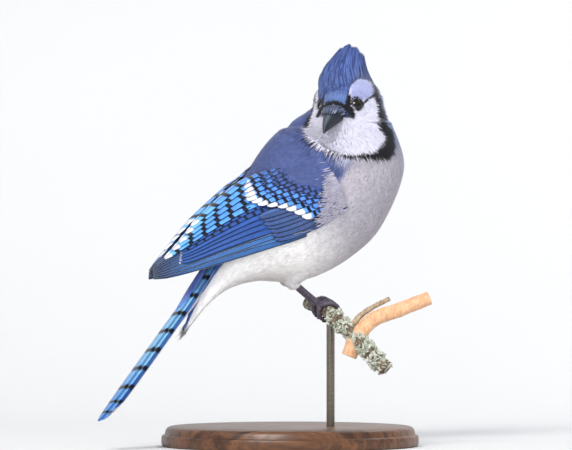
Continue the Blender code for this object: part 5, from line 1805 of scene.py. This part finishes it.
def eye_material():
    """A wet dark iris round a black pupil."""
    made, w, shader = new_material("wet_eye")
    polar, turn = w.value("polar"), w.value("turn")
    rays = w.noise(w.point(w.times(turn, 6.0), w.times(polar, 2.0)), 2.0, 3.0)
    iris = w.mix(w.slope(rays, 0.35, 0.65), colour(20, 14, 11), colour(40, 27, 19))
    tint = w.mix(w.slope(polar, PUPIL_SPREAD - 0.03, PUPIL_SPREAD + 0.03), colour(5, 5, 6), iris)
    tint = w.mix(w.slope(polar, 0.85, 1.0), tint, colour(12, 11, 12))
    w.put(shader.inputs["Base Color"], tint)
    shader.inputs["Roughness"].default_value = 0.06
    shader.inputs["Specular IOR Level"].default_value = 0.4
    shader.inputs["Coat Weight"].default_value = 0.2
    shader.inputs["Coat Roughness"].default_value = 0.03
    return made


def lid_material():
    """Grainy bare skin, paler below the eye."""
    made, w, shader = new_material("bare_lid")
    grain = w.noise(w.place(), 2600.0, 2.0)
    tint = w.mix(w.value("low"), colour(34, 33, 38), colour(132, 134, 146))
    tint = w.mix(w.slope(grain, 0.4, 0.65, 0.0, 0.4), tint, colour(20, 20, 24))
    w.put(shader.inputs["Base Color"], tint)
    bumped(w, shader, grain, 0.4)
    shader.inputs["Roughness"].default_value = 0.6
    return made


def bill_material():
    """Charcoal horn with a painted blue-grey sheen down the middle of each half and fine wear along it."""
    made, w, shader = new_material("charcoal_bill")
    along, turn = w.value("along"), w.value("turn")
    scratch = w.noise(w.point(w.times(along, 6.0), w.times(turn, 26.0)), 1.0, 3.0)
    cloud = w.noise(w.place(), 380.0, 2.0)
    # Painted sheen: a lighter blue-grey band along the upper bill's ridge and down the middle of the lower
    # bill.
    ridge = w.slope(w.math("ABSOLUTE", w.math("SUBTRACT", turn, math.pi / 2)), 0.55, 0.0)
    tint = w.mix(w.times(ridge, 0.8), colour(34, 36, 44), colour(84, 94, 112))
    tint = w.mix(w.slope(cloud, 0.4, 0.7, 0.0, 0.35), tint, colour(22, 23, 28))
    tint = w.mix(w.slope(along, 0.85, 1.0, 0.0, 0.5), tint, colour(18, 18, 22))
    w.put(shader.inputs["Base Color"], tint)
    w.put(shader.inputs["Roughness"], w.slope(scratch, 0.3, 0.7, 0.3, 0.48))
    bumped(w, shader, scratch, 0.12)
    return made


def scale_material():
    """Ringed dark scales."""
    made, w, shader = new_material("leg_scales")
    along = w.value("along")
    rings = w.math("FRACT", w.times(along, 0.42))
    gap = w.slope(w.math("ABSOLUTE", w.math("SUBTRACT", rings, 0.5)), 0.36, 0.5)
    grain = w.noise(w.place(), 1500.0, 3.0)
    tint = w.mix(w.slope(grain, 0.35, 0.7), colour(62, 54, 66), colour(98, 88, 104))
    tint = w.mix(w.times(gap, 0.6), tint, colour(34, 30, 38))
    w.put(shader.inputs["Base Color"], tint)
    bumped(w, shader, w.math("SUBTRACT", grain, gap), 0.5)
    shader.inputs["Roughness"].default_value = 0.45
    return made


def claw_material():
    """Dark horn."""
    made, w, shader = new_material("claw_horn_dark")
    grain = w.noise(w.place(), 1200.0, 3.0)
    tint = w.mix(w.slope(grain, 0.3, 0.7), colour(22, 20, 22), colour(52, 46, 48))
    w.put(shader.inputs["Base Color"], tint)
    shader.inputs["Roughness"].default_value = 0.3
    return made


def bark_group():
    """Cracked grain in two colours with spots of a third."""
    w, given, out = new_group(
        "bark grain",
        (
            ("Place", "Vector"), ("Dark", "Color"), ("Light", "Color"), ("Spot", "Color"),
            ("Spots", "Float", 0.3),
        ),
        (("Color", "Color"), ("Height", "Float")),
    )
    stretch = w.add("ShaderNodeMapping")
    w.put(stretch.inputs["Vector"], given["Place"])
    stretch.inputs["Scale"].default_value = (1.0, 0.5, 0.35)
    grain = w.noise(stretch.outputs[0], 900.0, 5.0, 0.6, 0.4)
    blotch = w.noise(given["Place"], 210.0, 4.0, 0.6)
    tint = w.mix(w.slope(grain, 0.3, 0.7), given["Dark"], given["Light"])
    where = w.times(w.slope(blotch, 0.48, 0.58), given["Spots"])
    w.put(out["Color"], w.mix(where, tint, given["Spot"]))
    w.put(out["Height"], grain)


def bark_material(name, dark, light, spot, spots, rough=0.85):
    """Bark, bare wood or lichen in three colours."""
    made, w, shader = new_material(name)
    colours = {"Dark": colour(*dark), "Light": colour(*light), "Spot": colour(*spot)}
    bark = w.group("bark grain", Place=w.place(), Spots=spots, **colours)
    w.put(shader.inputs["Base Color"], bark["Color"])
    bumped(w, shader, bark["Height"], 0.7, 0.0005)
    shader.inputs["Roughness"].default_value = rough
    return made


def wood_material():
    """Dark polished wood with rings of grain."""
    made, w, shader = new_material("turned_walnut")
    stretch = w.add("ShaderNodeMapping")
    w.put(stretch.inputs["Vector"], w.place())
    stretch.inputs["Scale"].default_value = (9.0, 150.0, 60.0)
    grain = w.noise(stretch.outputs[0], 1.0, 6.0, 0.6, 1.2)
    fine = w.noise(stretch.outputs[0], 7.0, 3.0)
    tint = w.mix(w.slope(grain, 0.35, 0.66), colour(58, 36, 24), colour(112, 74, 48))
    tint = w.mix(w.slope(fine, 0.5, 0.7, 0.0, 0.4), tint, colour(40, 25, 17))
    w.put(shader.inputs["Base Color"], tint)
    w.put(shader.inputs["Roughness"], w.slope(fine, 0.3, 0.7, 0.32, 0.45))
    bumped(w, shader, fine, 0.08)
    return made


def metal_material():
    """Brushed metal."""
    made, w, shader = new_material("brushed_rod")
    stretch = w.add("ShaderNodeMapping")
    w.put(stretch.inputs["Vector"], w.place())
    stretch.inputs["Scale"].default_value = (200.0, 200.0, 4000.0)
    lines = w.noise(stretch.outputs[0], 1.0, 2.0)
    tint = w.mix(w.slope(lines, 0.3, 0.7), colour(120, 112, 100), colour(150, 142, 130))
    w.put(shader.inputs["Base Color"], tint)
    w.put(shader.inputs["Roughness"], w.slope(lines, 0.3, 0.7, 0.3, 0.45))
    shader.inputs["Metallic"].default_value = 1.0
    return made


def floor_material():
    """A pale floor, clear from behind."""
    made, w, shader = new_material("pale_floor")
    grain = w.noise(w.place(), 3.0, 2.0)
    w.put(shader.inputs["Base Color"], w.mix(grain, colour(206, 206, 206), colour(212, 212, 211)))
    shader.inputs["Roughness"].default_value = 0.9
    behind = w.add("ShaderNodeNewGeometry").outputs["Backfacing"]
    w.put(shader.inputs["Alpha"], w.math("SUBTRACT", 1.0, behind))
    return made


def bristle_material():
    """Dark bristles, some blue-grey and a few pale."""
    made, w, shader = new_material("bristles")
    tone = w.value("tone")
    tint = w.mix(w.slope(tone, 0.42, 0.5), colour(24, 25, 34), colour(84, 96, 132))
    tint = w.mix(w.slope(tone, 0.9, 0.94), tint, colour(176, 184, 206))
    tint = w.mix(w.slope(w.value("tip"), 0.6, 1.0, 0.0, 0.5), tint, colour(30, 32, 44))
    w.put(shader.inputs["Base Color"], tint)
    soft_sheen(shader, 0.6)
    return made


def make_looks():
    """Every material, by the piece it goes on."""
    barb_group()
    bar_group()
    bark_group()
    feather = feather_material
    return {
        "coat": coat_material(),
        "primary": feather(
            "primary_blue", (70, 124, 196), (44, 70, 120), dark_edge=0.9, pale_edge=0.26, inner=0.5, rise=26.0
        ),
        "secondary": feather(
            "secondary_blue", (52, 104, 196), (58, 112, 204), dark_edge=0.55, bar=0.95, bar_half=0.17,
            tip=0.6, inner=0.5,
        ),
        "tertial": feather(
            "tertial_sky", (84, 150, 226), (104, 178, 238), dark_edge=0.7, bar=1.0, bar_half=0.15, tip=4.6,
        ),
        "primary_covert": feather(
            "primary_covert_blue", (86, 112, 168), (70, 100, 164), dark_edge=0.6, inner=0.5,
        ),
        "greater": feather(
            "greater_covert_blue", (66, 120, 210), (84, 146, 228), dark_edge=0.7, bar=1.0, bar_half=0.2,
            tip=5.6,
        ),
        "median": feather(
            "median_covert_blue", (70, 118, 208), (78, 130, 216), dark_edge=0.7, bar=0.9, bar_half=0.2,
        ),
        "lesser": feather(
            "lesser_covert_blue", (56, 79, 138), (60, 85, 148), dark_edge=0.55, bar=0.8, bar_half=0.2,
        ),
        "alula": feather("alula_dark", (62, 84, 132), (50, 66, 108), pale_edge=0.45, dark_edge=0.9),
        "tail": feather(
            "tail_sky", (124, 184, 226), (76, 138, 212), bar=1.0, bar_half=0.115, dark_edge=0.28, rise=60.0,
            shaft=(50, 84, 130),
        ),
        "tail_outer": feather(
            "tail_blue", (96, 148, 214), (66, 118, 196), bar=0.95, bar_half=0.12, tip=7.0, dark_edge=0.24,
            rise=60.0, shaft=(50, 84, 130),
        ),
        "tail_edge": feather(
            "tail_white_edge", (150, 180, 222), (214, 222, 236), tip=26.0, pale_edge=1.4, rise=90.0,
            shaft=(150, 160, 180),
        ),
        "rump": feather("rump_blue", (86, 110, 182), (96, 140, 214), rise=12.0, shaft=(70, 90, 150)),
        "undertail": feather(
            "undertail_white", (224, 222, 228), (232, 232, 238), rise=12.0, shaft=(190, 190, 200)
        ),
        "eye": eye_material(), "lid": lid_material(), "bill": bill_material(), "bristle": bristle_material(),
        "scales": scale_material(), "claw": claw_material(),
        "bark": bark_material("grey_bark", (58, 46, 40), (128, 108, 90), (176, 184, 160), 0.8),
        "thin_bark": bark_material("pale_bark", (120, 100, 78), (188, 168, 140), (150, 140, 110), 0.3),
        "peeled": bark_material("peeled_wood", (196, 144, 104), (220, 174, 134), (232, 194, 158), 0.3, 0.6),
        "lichen": bark_material("pale_lichen", (156, 159, 142), (212, 214, 200), (126, 130, 112), 0.3, 0.95),
        "wood": wood_material(), "metal": metal_material(), "floor": floor_material(),
    }


# Studio


def make_studio(looks):
    """A pale sheet that curves up behind the stand."""
    run = [(y, 0.0) for y in np.linspace(SHEET_FRONT, SHEET_BEND, 20)]
    for angle in np.linspace(0.05, math.pi / 2, 24):
        run.append((SHEET_BEND + SHEET_CURVE * math.sin(angle), SHEET_CURVE * (1 - math.cos(angle))))
    run += [(SHEET_BEND + SHEET_CURVE, z) for z in np.linspace(600, SHEET_TOP, 12)]
    run = np.array(run)
    wide = np.linspace(-SHEET_HALF, SHEET_HALF, 16)
    x, i = np.meshgrid(wide, np.arange(len(run)))
    points = np.stack([x, run[i, 0], run[i, 1]], -1).reshape(-1, 3)
    columns = len(wide)
    a = (np.arange(len(run) - 1)[:, None] * columns + np.arange(columns - 1)).ravel()
    triangles = np.concatenate([
        np.stack([a, a + 1, a + columns + 1], 1), np.stack([a, a + columns + 1, a + columns], 1),
    ])
    floor = triangle_mesh("floor_sheet", points, triangles, looks["floor"])


def make_light(name, place, aim, size, power, tint, glints):
    """A round soft light, aimed at a point."""
    lamp = bpy.data.lights.new(name, "AREA")
    lamp.shape = "DISK"
    lamp.size = size * MM
    lamp.energy = power
    lamp.color = tint
    made = bpy.data.objects.new(name, lamp)
    made.location = Vector(place) * MM
    made.rotation_mode = "QUATERNION"
    made.rotation_quaternion = (Vector(aim) - Vector(place)).to_track_quat("-Z", "Y")
    made.visible_glossy = glints
    bpy.context.scene.collection.objects.link(made)


def make_camera():
    """The camera level with the middle of the photograph's frame, far off along -Y."""
    scene = bpy.context.scene
    lens = bpy.data.cameras.new("camera")
    camera = bpy.data.objects.new("camera", lens)
    x, z = CAMERA_AT
    camera.location = Vector((x, -CAMERA_AWAY, z)) * MM
    camera.rotation_euler = (math.pi / 2, 0, 0)
    lens.sensor_width = 36
    lens.lens = 36 * CAMERA_AWAY / (FRAME_WIDE / PIXELS_PER_MM)
    lens.clip_end = 100
    scene.collection.objects.link(camera)
    scene.camera = camera
    scene.view_settings.view_transform = "Standard"


def make_world():
    """Dim bluish light from all sides."""
    world = bpy.data.worlds.new("studio")
    bpy.context.scene.world = world
    world.use_nodes = True
    ground = world.node_tree.nodes["Background"]
    ground.inputs[0].default_value = WORLD_TINT
    ground.inputs[1].default_value = WORLD_STRENGTH


def main():
    """Makes the model, its stand, the lights and the camera."""
    looks = make_looks()
    make_studio(looks)
    make_skin(looks)
    make_coat(looks)
    make_thigh_coats(looks)
    make_wing_fronts(looks)
    wing_pieces("right", False, looks)
    wing_pieces("left", True, looks)
    make_tail(looks)
    make_crest(looks)
    make_eyes(looks)
    make_bill(looks)
    make_bristles(looks)
    make_legs(looks)
    make_perch(looks)
    make_stand(looks)
    make_world()
    for light in LIGHTS:
        make_light(*light)
    make_camera()


main()
